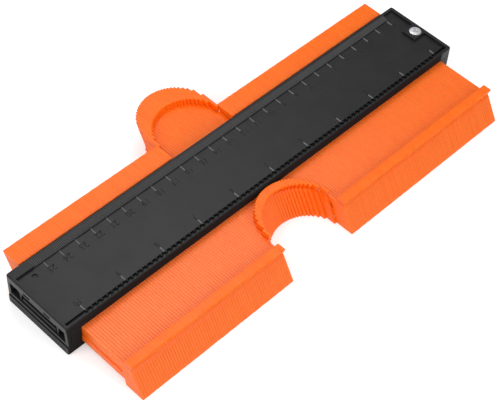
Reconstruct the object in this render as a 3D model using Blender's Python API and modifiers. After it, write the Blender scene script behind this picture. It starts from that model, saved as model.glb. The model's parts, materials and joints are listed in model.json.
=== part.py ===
"""A wide contour gauge: a black two-part body with a ruler on top clamps a stack of thin sliding leaves.

Metres, +Z up. The origin is the centre of the body's bottom face. +X runs along the body to the end with the
tension screw, and +Y points to the side where the pressed leaves bulge out.
"""

import math

import bmesh
import bpy
from mathutils import Matrix

# Clearances
SEAT_GAP = 0.0003
FLOOR_GAP = 0.00025

# The stack of leaves
LEAF_PITCH = 0.00155
LEAF_GAP = 0.00015
LEAF_DRAFT = 0.00012
LEAF_PLATE = 0.011
BAR_REACH = 0.0372
BAR_WIDTH = 0.0053
NECK_INSET = 0.0014
NECK_DROP = 0.0043
SHOULDER_OUT = 0.0009
SHOULDER_DROP = 0.001
TIP_OUT = 0.0127
HEEL_OUT = 0.0008
CHANNEL_WIDTH = 0.0034
CHANNEL_DEPTH = 0.0005
CHANNEL_END_WALL = 0.0016

# The row of leaves, and the round form that is pressed into it
LEAVES_LEFT = 65
LEAVES_PRESSED = 28
LEAVES_RIGHT = 76
BLOCK_LEAVES = 7
FORM_EDGE = 0.000175
REST_FROM_STOP = 0.0003
PRESSED_FROM_STOP = 0.00015

# The body
BODY_WIDTH = 0.0442
CORNER_RADIUS = 0.0012
EDGE_BEVEL = 0.0008
COVER_WALL = 0.0022
LEFT_END = 0.0087
RIGHT_END = 0.00715
END_LAND = 0.00285

# Upper cover
UPPER_DEPTH = 0.0058
COVER_PLATE = 0.0025
RECESS_DEPTH = 0.0015
LEFT_RIM = 0.00175
RIGHT_RIM = 0.00245
NEAR_RIM = 0.0015
FAR_RIM = 0.002
RULER_GROOVE_WIDTH = 0.00255
RULER_GROOVE_DEPTH = 0.0014
BAND_WIDTH = 0.0036
BAND_DROP = 0.0006
BAND_FROM_LEFT = 0.01285
BAND_FROM_RIGHT = 0.00895
POCKET_DEPTH = 0.0013
DIMPLE_RADIUS = 0.00155
DIMPLE_DEPTH = 0.0008
DIMPLE_FROM_LEFT = 0.00995
DIMPLE_FROM_FAR = 0.0096

# The left end wall leans inwards from its top edge, and one window crosses it behind two posts
END_WALL_LEAN = 0.0008
OPENING_WIDTH = 0.0257
OPENING_HEIGHT = 0.0077
POST_WIDTH = 0.0013
POST_SETBACK = 0.0014
WINDOW_HEIGHT = 0.0085
WINDOW_SILL = 0.0079
LATCH_WIDTH = 0.0046
LATCH_HEIGHT = 0.0016
LATCH_DEPTH = 0.0009
LATCH_SPACING = 0.0147
LATCH_FROM_TOP = 0.003

# Lower cover
LOWER_RAIL = 0.0038
LOWER_PLATE = 0.002
LOWER_LIP = 0.005
LIP_INSET = 0.0003
BLOCK_BACK_WALL = 0.0018
SHELF_THICKNESS = 0.0022
SHELF_LIFT = 0.0004
TONGUE_WIDTH = 0.0238
TONGUE_THICKNESS = 0.002
RIGHT_INSET = 0.0005
CORE_WIDTH = 0.0134
CORE_THICKNESS = 0.0024

# Friction strips and the ribs that hold them
STRIP_WIDTH = 0.014
RIB_THICKNESS = 0.0012
RIB_HEIGHT = 0.001

# Tension screw and its nut
SCREW_RADIUS = 0.0015
SCREW_FROM_RIGHT = 0.00485
HEAD_RADIUS = 0.0035
HEAD_HEIGHT = 0.0017
HEAD_CROWN = 0.001
HEAD_BELOW_RIM = 0.0001
CROSS_LENGTH = 0.0042
CROSS_WIDTH = 0.0008
CROSS_DEPTH = 0.0009
SCREW_BLOCK_LENGTH = 0.01085
SCREW_BLOCK_WIDTH = 0.0092
NUT_FLATS = 0.0055
NUT_HEIGHT = 0.002
NUT_LIFT = 0.0006
SHANK_PAST_NUT = 0.0002

# Finishes: linear colour and roughness
BLACK_UPPER = ((0.045, 0.044, 0.046), 0.45)
BLACK_LOWER = ((0.045, 0.044, 0.046), 0.5)
ORANGE = ((0.94, 0.17, 0.02), 0.42)
RUBBER = ((0.03, 0.03, 0.03), 0.9)
BRIGHT_STEEL = ((0.72, 0.72, 0.74), 0.3)
DULL_STEEL = ((0.6, 0.6, 0.6), 0.4)

# Heights that follow from the sizes above
LEAF_Z = LOWER_RAIL + SEAT_GAP + LEAF_PLATE / 2
HEAD_HALF = LEAF_Z - FLOOR_GAP
COVER_BOTTOM = LOWER_RAIL + LEAF_PLATE + 2 * SEAT_GAP
LEAF_TOP = COVER_BOTTOM - SEAT_GAP
BODY_HEIGHT = COVER_BOTTOM + UPPER_DEPTH
FLOOR_Z = BODY_HEIGHT - RECESS_DEPTH
CEILING_Z = FLOOR_Z - COVER_PLATE

# Lengths along the body
LEAF_COUNT = LEAVES_LEFT + LEAVES_PRESSED + LEAVES_RIGHT
HALF_LENGTH = (LEFT_END + LEAF_COUNT * LEAF_PITCH + RIGHT_END) / 2 + SEAT_GAP
HALF_WIDTH = BODY_WIDTH / 2
STACK_LEFT = LEFT_END + SEAT_GAP - HALF_LENGTH
BAY_LEFT = STACK_LEFT - SEAT_GAP
BAY_RIGHT = HALF_LENGTH - RIGHT_END
SCREW_X = HALF_LENGTH - SCREW_FROM_RIGHT

# Places of the leaves across the body
LEAF_STOP = BAR_REACH - HALF_WIDTH - SEAT_GAP
LEAF_REST_Y = REST_FROM_STOP - LEAF_STOP
FORM_DEPTH = LEAF_STOP - PRESSED_FROM_STOP - LEAF_REST_Y
FORM_RADIUS = (LEAVES_PRESSED - 1) / 2 * LEAF_PITCH + FORM_EDGE

# How far a cutter runs past the face that it opens
REACH = 0.002

# How finely round forms are divided
ROUND_SIDES = 24
NUT_SIDES = 6
CROWN_STEPS = 4
CORNER_STEPS = 4
EDGE_STEPS = 2
SMOOTH_ANGLE = math.radians(35)
SAME_POINT = 1e-6


def clear_scene():
    for old in list(bpy.data.objects):
        bpy.data.objects.remove(old, do_unlink=True)


def new_collection(name):
    collection = bpy.data.collections.new(name)
    bpy.context.scene.collection.children.link(collection)
    return collection


def plastic(name, finish_values):
    colour, roughness = finish_values
    material = bpy.data.materials.new(name)
    material.use_nodes = True
    shader = material.node_tree.nodes["Principled BSDF"]
    shader.inputs["Base Color"].default_value = (*colour, 1)
    shader.inputs["Roughness"].default_value = roughness
    material.diffuse_color = (*colour, 1)
    return material


def steel(name, finish_values):
    material = plastic(name, finish_values)
    shader = material.node_tree.nodes["Principled BSDF"]
    shader.inputs["Metallic"].default_value = 1
    return material


def object_of(name, mesh, collection):
    made = bpy.data.objects.new(name, mesh)
    collection.objects.link(made)
    return made


def object_from(name, shape, collection):
    """Turns a finished bmesh into an object."""
    mesh = bpy.data.meshes.new(name)
    shape.to_mesh(mesh)
    shape.free()
    return object_of(name, mesh, collection)


def box(name, low, high, collection):
    """A box between two corners."""
    shape = bmesh.new()
    size = [top - bottom for bottom, top in zip(low, high)]
    middle = [(top + bottom) / 2 for bottom, top in zip(low, high)]
    place = Matrix.Translation(middle) @ Matrix.Diagonal((*size, 1))
    bmesh.ops.create_cube(shape, size=1, matrix=place)
    return object_from(name, shape, collection)


def cylinder(name, radius, centre, bottom, top, sides, collection):
    """An upright cylinder, or a prism when it has few sides."""
    shape = bmesh.new()
    place = Matrix.Translation((*centre, (bottom + top) / 2))
    bmesh.ops.create_cone(
        shape, cap_ends=True, segments=sides, radius1=radius, radius2=radius,
        depth=top - bottom, matrix=place)
    return object_from(name, shape, collection)


def prism_along_x(name, outline, left, right, collection):
    """A flat outline in Y and Z, extruded along X."""
    curve = bpy.data.curves.new(name, "CURVE")
    curve.dimensions = "2D"
    curve.fill_mode = "BOTH"
    curve.extrude = (right - left) / 2
    spline = curve.splines.new("POLY")
    spline.points.add(len(outline) - 1)
    for point, (y, z) in zip(spline.points, outline):
        point.co = (y, z, 0, 1)
    spline.use_cyclic_u = True
    drawn = object_of(name + "_outline", curve, collection)
    drawn.location = ((left + right) / 2, 0, 0)
    drawn.rotation_euler = (math.pi / 2, 0, math.pi / 2)
    bpy.context.view_layer.update()
    graph = bpy.context.evaluated_depsgraph_get()
    mesh = bpy.data.meshes.new_from_object(drawn.evaluated_get(graph))
    made = object_of(name, mesh, collection)
    made.matrix_world = drawn.matrix_world.copy()
    bpy.data.objects.remove(drawn, do_unlink=True)
    weld(mesh)
    return made


def weld(mesh):
    shape = bmesh.new()
    shape.from_mesh(mesh)
    bmesh.ops.remove_doubles(shape, verts=shape.verts, dist=SAME_POINT)
    shape.to_mesh(mesh)
    shape.free()


def rounded_block(name, bottom, top, bevelled_z, collection):
    """The body's own outline as a block, with round corners and one bevelled rim."""
    shape = bmesh.new()
    height = top - bottom
    place = Matrix.Translation((0, 0, (bottom + top) / 2))
    place @= Matrix.Diagonal((2 * HALF_LENGTH, BODY_WIDTH, height, 1))
    bmesh.ops.create_cube(shape, size=1, matrix=place)
    corners = [edge for edge in shape.edges
               if abs(edge.verts[0].co.z - edge.verts[1].co.z) > height / 2]
    bmesh.ops.bevel(
        shape, geom=corners, offset=CORNER_RADIUS, offset_type="OFFSET", segments=CORNER_STEPS,
        profile=0.5, affect="EDGES")
    rim = [edge for edge in shape.edges
           if all(abs(vert.co.z - bevelled_z) < SAME_POINT for vert in edge.verts)]
    bmesh.ops.bevel(
        shape, geom=rim, offset=EDGE_BEVEL, offset_type="OFFSET", segments=EDGE_STEPS,
        profile=0.5, affect="EDGES")
    return object_from(name, shape, collection)


def boolean(target, other, operation):
    """Cuts other out of target, or joins it on, and keeps other out of sight."""
    modifier = target.modifiers.new(other.name, "BOOLEAN")
    modifier.operation = operation
    modifier.solver = "EXACT"
    modifier.object = other
    other.hide_render = True
    other.display_type = "WIRE"


def cut(target, *cutters):
    for cutter in cutters:
        boolean(target, cutter, "DIFFERENCE")


def applied_mesh(source, name):
    """The object's mesh with its modifiers worked in."""
    bpy.context.view_layer.update()
    graph = bpy.context.evaluated_depsgraph_get()
    mesh = bpy.data.meshes.new_from_object(source.evaluated_get(graph))
    mesh.name = name
    return mesh


def finish(piece, material):
    piece.data.materials.clear()
    piece.data.materials.append(material)


# Leaves


def leaf_outline():
    """One leaf's outline across the body, (y, z) about its centre.

    A leaf looks the same after half a turn: a bar stands up near one end and hangs down near the other, and
    from each bar a slanting face runs out to a thin tip on the opposite side.
    """
    bar_top = (BAR_REACH + BAR_WIDTH, HEAD_HALF)
    neck = (bar_top[0] - NECK_INSET, HEAD_HALF - NECK_DROP)
    shoulder = (neck[0] + SHOULDER_OUT, neck[1] - SHOULDER_DROP)
    end = [
        (BAR_REACH, LEAF_PLATE / 2),
        (BAR_REACH, HEAD_HALF),
        bar_top,
        neck,
        shoulder,
        (BAR_REACH + TIP_OUT, -HEAD_HALF),
        (BAR_REACH + HEEL_OUT, -HEAD_HALF),
        (BAR_REACH, -LEAF_PLATE / 2),
    ]
    near_end = [(-y, z) for y, z in end]
    far_end = [(y, -z) for y, z in end]
    return near_end + far_end


def inset(outline, distance):
    """The outline moved inwards by one distance all round."""
    moved = []
    for index, (y, z) in enumerate(outline):
        before = outline[index - 1]
        after = outline[(index + 1) % len(outline)]
        first = unit(y - before[0], z - before[1])
        second = unit(after[0] - y, after[1] - z)
        inward = (-first[1] - second[1], first[0] + second[0])
        share = distance / (1 + first[0] * second[0] + first[1] * second[1])
        moved.append((y + inward[0] * share, z + inward[1] * share))
    return moved


def unit(y, z):
    length = math.hypot(y, z)
    return y / length, z / length


def leaf_sections(count):
    """Cross-sections of a run of leaves: each narrows a little towards +X and steps out again to the next."""
    full = leaf_outline()
    drafted = inset(full, LEAF_DRAFT)
    sections = []
    for leaf in range(count):
        left = leaf * LEAF_PITCH
        right = left + LEAF_PITCH
        if leaf == count - 1:
            right -= LEAF_GAP
        sections.append((left, full))
        sections.append((right, drafted))
    return sections


def loft(name, sections, collection):
    """Joins unlike sections along X into one closed shape."""
    shape = bmesh.new()
    rings = [[shape.verts.new((x, y, z)) for y, z in outline] for x, outline in sections]
    for ring, following in zip(rings, rings[1:]):
        for index in range(len(ring)):
            beside = (index + 1) % len(ring)
            shape.faces.new((ring[index], ring[beside], following[beside], following[index]))
    shape.faces.new(list(reversed(rings[0])))
    shape.faces.new(rings[-1])
    return object_from(name, shape, collection)


def leaf_mesh(count, cutters):
    """A run of leaves that lie in line, with the channel that each leaf has along its -X side."""
    run = loft(f"leaf_run_{count}", leaf_sections(count), cutters)
    run.hide_render = True
    half_length = BAR_REACH - CHANNEL_END_WALL
    channel = box(
        f"leaf_channel_{count}",
        (-REACH, -half_length, -CHANNEL_WIDTH / 2),
        (CHANNEL_DEPTH, half_length, CHANNEL_WIDTH / 2), cutters)
    cut(run, channel)
    mesh = applied_mesh(run, f"leaves_{count}")
    bpy.data.objects.remove(run, do_unlink=True)
    bpy.data.objects.remove(channel, do_unlink=True)
    return mesh


def pressed_offset(index):
    """How far the round form has pushed a leaf; index counts the pressed leaves from the left."""
    from_centre = (index - (LEAVES_PRESSED - 1) / 2) * LEAF_PITCH
    return FORM_DEPTH - FORM_RADIUS + math.sqrt(FORM_RADIUS ** 2 - from_centre ** 2)


def add_leaves(name, mesh, first, offset, parts, material):
    """Places a run of leaves whose first leaf is number first of the row."""
    leaves = object_of(name, mesh, parts)
    leaves.location = (STACK_LEFT + first * LEAF_PITCH, LEAF_REST_Y + offset, LEAF_Z)
    if not mesh.materials:
        mesh.materials.append(material)
    return leaves


def add_blocks(side, first, count, parts, cutters, material):
    """The leaves that the form hasn't touched, in runs that share one place."""
    meshes = {}
    for block, start in enumerate(range(0, count, BLOCK_LEAVES)):
        size = min(BLOCK_LEAVES, count - start)
        if size not in meshes:
            meshes[size] = leaf_mesh(size, cutters)
        name = f"leaves_{side}_{block + 1:02d}"
        add_leaves(name, meshes[size], first + start, 0, parts, material)


def add_stack(parts, cutters, material):
    add_blocks("left", 0, LEAVES_LEFT, parts, cutters, material)
    single = leaf_mesh(1, cutters)
    for index in range(LEAVES_PRESSED):
        name = f"leaf_pressed_{index + 1:02d}"
        add_leaves(name, single, LEAVES_LEFT + index, pressed_offset(index), parts, material)
    add_blocks("right", LEAVES_LEFT + LEAVES_PRESSED, LEAVES_RIGHT, parts, cutters, material)


# Upper cover


def recess_cutter(cutters):
    """The sunk floor of the ruler face, which leaves the rims and the block for the screw."""
    floor = box(
        "ruler_recess",
        (LEFT_RIM - HALF_LENGTH, NEAR_RIM - HALF_WIDTH, FLOOR_Z),
        (HALF_LENGTH - RIGHT_RIM, HALF_WIDTH - FAR_RIM - BAND_WIDTH, BODY_HEIGHT + REACH),
        cutters)
    block = box(
        "screw_block",
        (HALF_LENGTH - SCREW_BLOCK_LENGTH, -SCREW_BLOCK_WIDTH / 2, FLOOR_Z - REACH),
        (HALF_LENGTH + REACH, SCREW_BLOCK_WIDTH / 2, BODY_HEIGHT + 2 * REACH), cutters)
    cut(floor, block)
    return floor


def band_cutter(cutters):
    """The slanting band that carries the millimetre marks, between the floor and the far rim."""
    outer = HALF_WIDTH - FAR_RIM
    inner = outer - BAND_WIDTH
    slope = BAND_DROP / BAND_WIDTH
    top = BODY_HEIGHT + REACH
    outline = [
        (inner - REACH, BODY_HEIGHT - BAND_DROP - REACH * slope),
        (outer, BODY_HEIGHT),
        (outer, top),
        (inner - REACH, top),
    ]
    return prism_along_x(
        "millimetre_band", outline, BAND_FROM_LEFT - HALF_LENGTH, HALF_LENGTH - BAND_FROM_RIGHT,
        cutters)


def ruler_cutters(cutters):
    inner = HALF_WIDTH - FAR_RIM - BAND_WIDTH
    groove = box(
        "inch_groove",
        (LEFT_RIM - HALF_LENGTH, NEAR_RIM - HALF_WIDTH, FLOOR_Z - RULER_GROOVE_DEPTH),
        (HALF_LENGTH - RIGHT_RIM, NEAR_RIM + RULER_GROOVE_WIDTH - HALF_WIDTH,
         FLOOR_Z + RECESS_DEPTH / 2), cutters)
    pocket = box(
        "corner_pocket",
        (HALF_LENGTH - BAND_FROM_RIGHT, inner - REACH, BODY_HEIGHT - POCKET_DEPTH),
        (HALF_LENGTH - RIGHT_RIM, HALF_WIDTH - FAR_RIM, BODY_HEIGHT + REACH), cutters)
    dimple = cylinder(
        "dimple", DIMPLE_RADIUS, (DIMPLE_FROM_LEFT - HALF_LENGTH, HALF_WIDTH - DIMPLE_FROM_FAR),
        FLOOR_Z - DIMPLE_DEPTH, FLOOR_Z + REACH, ROUND_SIDES, cutters)
    return recess_cutter(cutters), band_cutter(cutters), groove, pocket, dimple


def cavity_cutter(cutters):
    """The hollow under the cover's plate, with two ribs left in it for the friction strip."""
    hollow = box(
        "upper_hollow",
        (COVER_WALL - HALF_LENGTH, COVER_WALL - HALF_WIDTH, COVER_BOTTOM - REACH),
        (BAY_RIGHT - END_LAND, HALF_WIDTH - COVER_WALL, CEILING_Z), cutters)
    for side, name in ((-1, "near"), (1, "far")):
        cut(hollow, rib(f"upper_rib_{name}", side, CEILING_Z - RIB_HEIGHT, CEILING_Z + REACH, cutters))
    return hollow


def rib(name, side, bottom, top, cutters):
    """One long rib beside a friction strip."""
    inner = STRIP_WIDTH / 2 + SEAT_GAP
    ends = sorted((side * inner, side * (inner + RIB_THICKNESS)))
    return box(
        name, (BAY_LEFT + END_LAND, ends[0], bottom), (BAY_RIGHT - END_LAND, ends[1], top), cutters)


def window_cutters(cutters):
    """The window in the left end wall, with two posts and a lintel left in it, and two latch slots above it."""
    left = -HALF_LENGTH - REACH
    right = COVER_WALL + REACH - HALF_LENGTH
    across = HALF_WIDTH - COVER_WALL
    top = WINDOW_SILL + WINDOW_HEIGHT
    window = box("end_window", (left, -across, WINDOW_SILL), (right, across, top), cutters)
    half_lintel = (OPENING_WIDTH + POST_WIDTH) / 2
    cut(window, box(
        "lintel", (left - REACH, -half_lintel, WINDOW_SILL + OPENING_HEIGHT),
        (right + REACH, half_lintel, top + REACH), cutters))
    made = [window]
    for side, name in ((-1, "near"), (1, "far")):
        low, high = sorted((side * OPENING_WIDTH / 2, side * (OPENING_WIDTH / 2 + POST_WIDTH)))
        cut(window, box(
            f"post_{name}", (POST_SETBACK - HALF_LENGTH, low, WINDOW_SILL - REACH),
            (right + REACH, high, top + REACH), cutters))
        middle = side * LATCH_SPACING / 2
        made.append(box(
            f"latch_slot_{name}",
            (left, middle - LATCH_WIDTH / 2, BODY_HEIGHT - LATCH_FROM_TOP - LATCH_HEIGHT),
            (LATCH_DEPTH - HALF_LENGTH, middle + LATCH_WIDTH / 2, BODY_HEIGHT - LATCH_FROM_TOP), cutters))
    return made


def lean_cutter(cutters):
    """The wedge that comes off the end wall's outer side, so that it leans inwards below its top edge."""
    top = BODY_HEIGHT - EDGE_BEVEL
    height = top - LOWER_LIP - SEAT_GAP
    wedge = box("end_wall_lean", (-2 * REACH, -BODY_WIDTH, -BODY_HEIGHT), (0, BODY_WIDTH, REACH), cutters)
    wedge.location = (-HALF_LENGTH, 0, top)
    wedge.rotation_euler = (0, -math.atan(END_WALL_LEAN / height), 0)
    return wedge


def screw_cutters(cutters):
    """The shank's hole and the counterbore for the head."""
    hole = cylinder(
        "upper_screw_hole", SCREW_RADIUS + SEAT_GAP, (SCREW_X, 0), COVER_BOTTOM - REACH,
        BODY_HEIGHT + REACH, ROUND_SIDES, cutters)
    counterbore = cylinder(
        "counterbore", HEAD_RADIUS + SEAT_GAP, (SCREW_X, 0),
        BODY_HEIGHT - HEAD_BELOW_RIM - HEAD_HEIGHT - SEAT_GAP, BODY_HEIGHT + REACH, ROUND_SIDES, cutters)
    return hole, counterbore


def add_upper_cover(parts, cutters):
    bottom = LOWER_LIP + SEAT_GAP
    cover = rounded_block("upper_cover", bottom, BODY_HEIGHT, BODY_HEIGHT, parts)
    below = box(
        "below_cover", (COVER_WALL - HALF_LENGTH, -BODY_WIDTH, bottom - REACH),
        (HALF_LENGTH + REACH, BODY_WIDTH, COVER_BOTTOM), cutters)
    cut(cover, below, cavity_cutter(cutters), lean_cutter(cutters), *ruler_cutters(cutters),
        *window_cutters(cutters), *screw_cutters(cutters))
    finish(cover, plastic("black_abs_upper", BLACK_UPPER))


# Lower cover


def bay_cutters(cutters):
    """The bay that the leaves cross, and the sunk floor between its rails."""
    bay = box(
        "leaf_bay", (BAY_LEFT, -BODY_WIDTH, LOWER_RAIL), (BAY_RIGHT, BODY_WIDTH, LEAF_TOP + REACH), cutters)
    floor = box(
        "lower_hollow",
        (BAY_LEFT + END_LAND, COVER_WALL - HALF_WIDTH, LOWER_PLATE),
        (BAY_RIGHT - END_LAND, HALF_WIDTH - COVER_WALL, LEAF_TOP), cutters)
    for side, name in ((-1, "near"), (1, "far")):
        cut(floor, rib(f"lower_rib_{name}", side, LOWER_PLATE - REACH, LOWER_PLATE + RIB_HEIGHT, cutters))
    return bay, floor


def left_block_cutters(cutters):
    """The lip's set-back, the room for the cover's end wall, and the cells behind its window.

    Between the two middle cells a shelf is left, and its tongue reaches out through the window.
    """
    face = COVER_WALL + SEAT_GAP - HALF_LENGTH
    back = BAY_LEFT - BLOCK_BACK_WALL
    shelf_bottom = WINDOW_SILL + SHELF_LIFT
    shelf_top = shelf_bottom + SHELF_THICKNESS
    tongue_bottom = (shelf_bottom + shelf_top - TONGUE_THICKNESS) / 2
    room = box(
        "end_wall_room", (-HALF_LENGTH - REACH, -BODY_WIDTH, LOWER_LIP),
        (face, BODY_WIDTH, LEAF_TOP + REACH), cutters)
    cut(room, box(
        "shelf_tongue", (POST_SETBACK - HALF_LENGTH, -TONGUE_WIDTH / 2, tongue_bottom),
        (face + REACH, TONGUE_WIDTH / 2, tongue_bottom + TONGUE_THICKNESS), cutters))
    made = [
        box("lip_set_back", (-HALF_LENGTH - 2 * REACH, -BODY_WIDTH, -REACH),
            (LIP_INSET - HALF_LENGTH, BODY_WIDTH, LOWER_LIP + REACH), cutters),
        room,
        box("cell_below_shelf", (face - REACH, -OPENING_WIDTH / 2, WINDOW_SILL),
            (back, OPENING_WIDTH / 2, shelf_bottom), cutters),
        box("cell_above_shelf", (face - REACH, -OPENING_WIDTH / 2, shelf_top),
            (back, OPENING_WIDTH / 2, WINDOW_SILL + OPENING_HEIGHT), cutters),
    ]
    for side, name in ((-1, "near"), (1, "far")):
        low, high = corner_window(side)
        made.append(box(
            f"corner_cell_{name}", (face - REACH, low, WINDOW_SILL),
            (back, high, WINDOW_SILL + WINDOW_HEIGHT), cutters))
    return made


def corner_window(side):
    """The two sides of the window's corner part, from the post to the body's own wall."""
    post = OPENING_WIDTH / 2 + POST_WIDTH
    return sorted((side * post, side * (HALF_WIDTH - COVER_WALL)))


def right_block_cutters(cutters):
    """The set-back end face, a core on each side of the screw, the screw's hole and the nut's pocket."""
    made = [box(
        "right_set_back", (HALF_LENGTH - RIGHT_INSET, -BODY_WIDTH, -REACH),
        (HALF_LENGTH + REACH, BODY_WIDTH, LEAF_TOP + REACH), cutters)]
    outer = HALF_WIDTH - COVER_WALL
    for side, name in ((-1, "near"), (1, "far")):
        ends = sorted((side * outer, side * (outer - CORE_WIDTH)))
        made.append(box(
            f"right_core_{name}", (SCREW_X - CORE_THICKNESS / 2, ends[0], LOWER_PLATE),
            (SCREW_X + CORE_THICKNESS / 2, ends[1], LEAF_TOP + REACH), cutters))
    made.append(cylinder(
        "lower_screw_hole", SCREW_RADIUS + SEAT_GAP, (SCREW_X, 0), NUT_LIFT, LEAF_TOP + REACH,
        ROUND_SIDES, cutters))
    made.append(nut_prism("nut_pocket", SEAT_GAP, -REACH, NUT_LIFT + NUT_HEIGHT + SEAT_GAP, cutters))
    return made


def nut_prism(name, clearance, bottom, top, collection):
    """A hexagon on the screw's axis, its flats facing the ends of the body."""
    across_corners = (NUT_FLATS / 2 + clearance) / math.cos(math.pi / NUT_SIDES)
    prism = cylinder(name, across_corners, (0, 0), bottom, top, NUT_SIDES, collection)
    prism.location = (SCREW_X, 0, 0)
    return prism


def add_lower_cover(parts, cutters):
    cover = rounded_block("lower_cover", 0, LEAF_TOP, 0, parts)
    cut(cover, *bay_cutters(cutters), *left_block_cutters(cutters), *right_block_cutters(cutters))
    finish(cover, plastic("black_abs_lower", BLACK_LOWER))


# Inner pieces


def add_strips(parts):
    """The rubber strips that press on the leaves from above and below."""
    rubber = plastic("friction_rubber", RUBBER)
    heights = {
        "lower_friction_strip": (LOWER_PLATE + SEAT_GAP, LOWER_RAIL),
        "upper_friction_strip": (COVER_BOTTOM, CEILING_Z - SEAT_GAP),
    }
    left = BAY_LEFT + END_LAND + SEAT_GAP
    right = BAY_RIGHT - END_LAND - SEAT_GAP
    for name, (bottom, top) in heights.items():
        strip = box(name, (left, -STRIP_WIDTH / 2, bottom), (right, STRIP_WIDTH / 2, top), parts)
        finish(strip, rubber)


def crown(top):
    """The domed upper side of the screw's head, (radius, z) from the middle to the edge."""
    angles = [step / CROWN_STEPS * math.pi / 2 for step in range(CROWN_STEPS + 1)]
    return [(HEAD_RADIUS * math.sin(angle), top - HEAD_CROWN * (1 - math.cos(angle))) for angle in angles]


def add_screw(parts, cutters):
    """The tension screw: a low domed head with a cross recess on a plain shank."""
    top = BODY_HEIGHT - HEAD_BELOW_RIM
    under = top - HEAD_HEIGHT
    end = NUT_LIFT - SHANK_PAST_NUT
    profile = crown(top) + [
        (HEAD_RADIUS, under),
        (SCREW_RADIUS, under),
        (SCREW_RADIUS, end),
        (0, end),
    ]
    shape = bmesh.new()
    verts = [shape.verts.new((radius, 0, z)) for radius, z in profile]
    for upper, lower in zip(verts, verts[1:]):
        shape.edges.new((upper, lower))
    screw = object_from("tension_screw", shape, parts)
    turn = screw.modifiers.new("turn", "SCREW")
    turn.steps = ROUND_SIDES
    turn.render_steps = ROUND_SIDES
    turn.use_merge_vertices = True
    turn.merge_threshold = SAME_POINT
    screw.location = (SCREW_X, 0, 0)
    for name, half_x, half_y in (
            ("cross_slot_along", CROSS_LENGTH / 2, CROSS_WIDTH / 2),
            ("cross_slot_across", CROSS_WIDTH / 2, CROSS_LENGTH / 2)):
        slot = box(
            name, (SCREW_X - half_x, -half_y, top - CROSS_DEPTH), (SCREW_X + half_x, half_y, top + REACH),
            cutters)
        cut(screw, slot)
    finish(screw, steel("screw_steel", BRIGHT_STEEL))
    return screw


def add_nut(parts, cutters):
    nut = nut_prism("captive_nut", 0, NUT_LIFT, NUT_LIFT + NUT_HEIGHT, parts)
    cut(nut, cylinder(
        "nut_bore", SCREW_RADIUS + SEAT_GAP, (SCREW_X, 0), NUT_LIFT - REACH, NUT_LIFT + NUT_HEIGHT + REACH,
        ROUND_SIDES, cutters))
    finish(nut, steel("nut_steel", DULL_STEEL))


def shade_round(piece):
    piece.data.shade_smooth()
    piece.data.set_sharp_from_angle(angle=SMOOTH_ANGLE)


def main():
    clear_scene()
    parts = new_collection("contour_gauge")
    cutters = new_collection("cutters")
    add_upper_cover(parts, cutters)
    add_lower_cover(parts, cutters)
    add_strips(parts)
    shade_round(add_screw(parts, cutters))
    add_nut(parts, cutters)
    add_stack(parts, cutters, plastic("leaf_orange", ORANGE))


main()
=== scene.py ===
# %% [markdown]
# # A contour gauge, piece by piece
#
# A contour gauge copies an outline: a long row of thin plastic leaves is clamped between two black covers,
# and every leaf slides on its own when something is pressed against the row. The imported model already holds
# each piece at its real size, in metres. This script dresses it: it rounds the moulded edges, engraves the
# ruler, builds the leaves one by one and gives every surface its finish. The first cell loads the packed
# model and keeps the box of its upper cover.

import json
import math

import bmesh
import bpy
from mathutils import Matrix, Vector

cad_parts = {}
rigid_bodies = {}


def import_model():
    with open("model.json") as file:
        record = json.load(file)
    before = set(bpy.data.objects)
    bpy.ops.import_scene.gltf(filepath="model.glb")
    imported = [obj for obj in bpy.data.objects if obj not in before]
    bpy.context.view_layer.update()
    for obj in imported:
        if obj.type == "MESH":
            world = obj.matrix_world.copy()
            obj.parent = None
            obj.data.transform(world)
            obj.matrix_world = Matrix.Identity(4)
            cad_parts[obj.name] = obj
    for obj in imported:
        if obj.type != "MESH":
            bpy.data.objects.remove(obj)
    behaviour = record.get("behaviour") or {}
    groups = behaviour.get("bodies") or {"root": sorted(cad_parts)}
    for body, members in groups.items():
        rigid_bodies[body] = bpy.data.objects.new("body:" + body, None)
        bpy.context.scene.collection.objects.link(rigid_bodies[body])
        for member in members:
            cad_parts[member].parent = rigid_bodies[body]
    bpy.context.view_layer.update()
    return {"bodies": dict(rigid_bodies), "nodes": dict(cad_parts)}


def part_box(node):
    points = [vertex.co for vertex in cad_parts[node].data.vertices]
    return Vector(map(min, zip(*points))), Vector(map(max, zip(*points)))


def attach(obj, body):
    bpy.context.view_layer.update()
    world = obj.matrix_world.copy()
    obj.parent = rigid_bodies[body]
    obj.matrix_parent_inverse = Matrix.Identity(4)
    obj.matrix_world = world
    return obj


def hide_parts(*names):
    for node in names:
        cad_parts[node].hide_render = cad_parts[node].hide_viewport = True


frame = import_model()
BODY_LOW, BODY_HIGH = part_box("upper_cover")
SCENE = bpy.context.scene

# %% [markdown]
# ## The camera
#
# The photograph was taken from about three quarters of a metre away, from the front left and well above the
# table, with a long lens. The camera stands at that place, looks at one point on the table and leans a
# little to one side. Its small shift moves the picture's centre by about two pixels, as the fit to the
# ruler's marks asked for.

# %% Camera
EYE = Vector((-0.367466, -0.324904, 0.567849))
AIM = Vector((-0.009956, -0.016267, 0.0))
LEAN = math.radians(5.065)
LENS_MM = 103.0
SENSOR_MM = 36.0
SHIFT_X = -0.00487
SHIFT_Y = 0.0008
NEAREST_SEEN = 0.01


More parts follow.
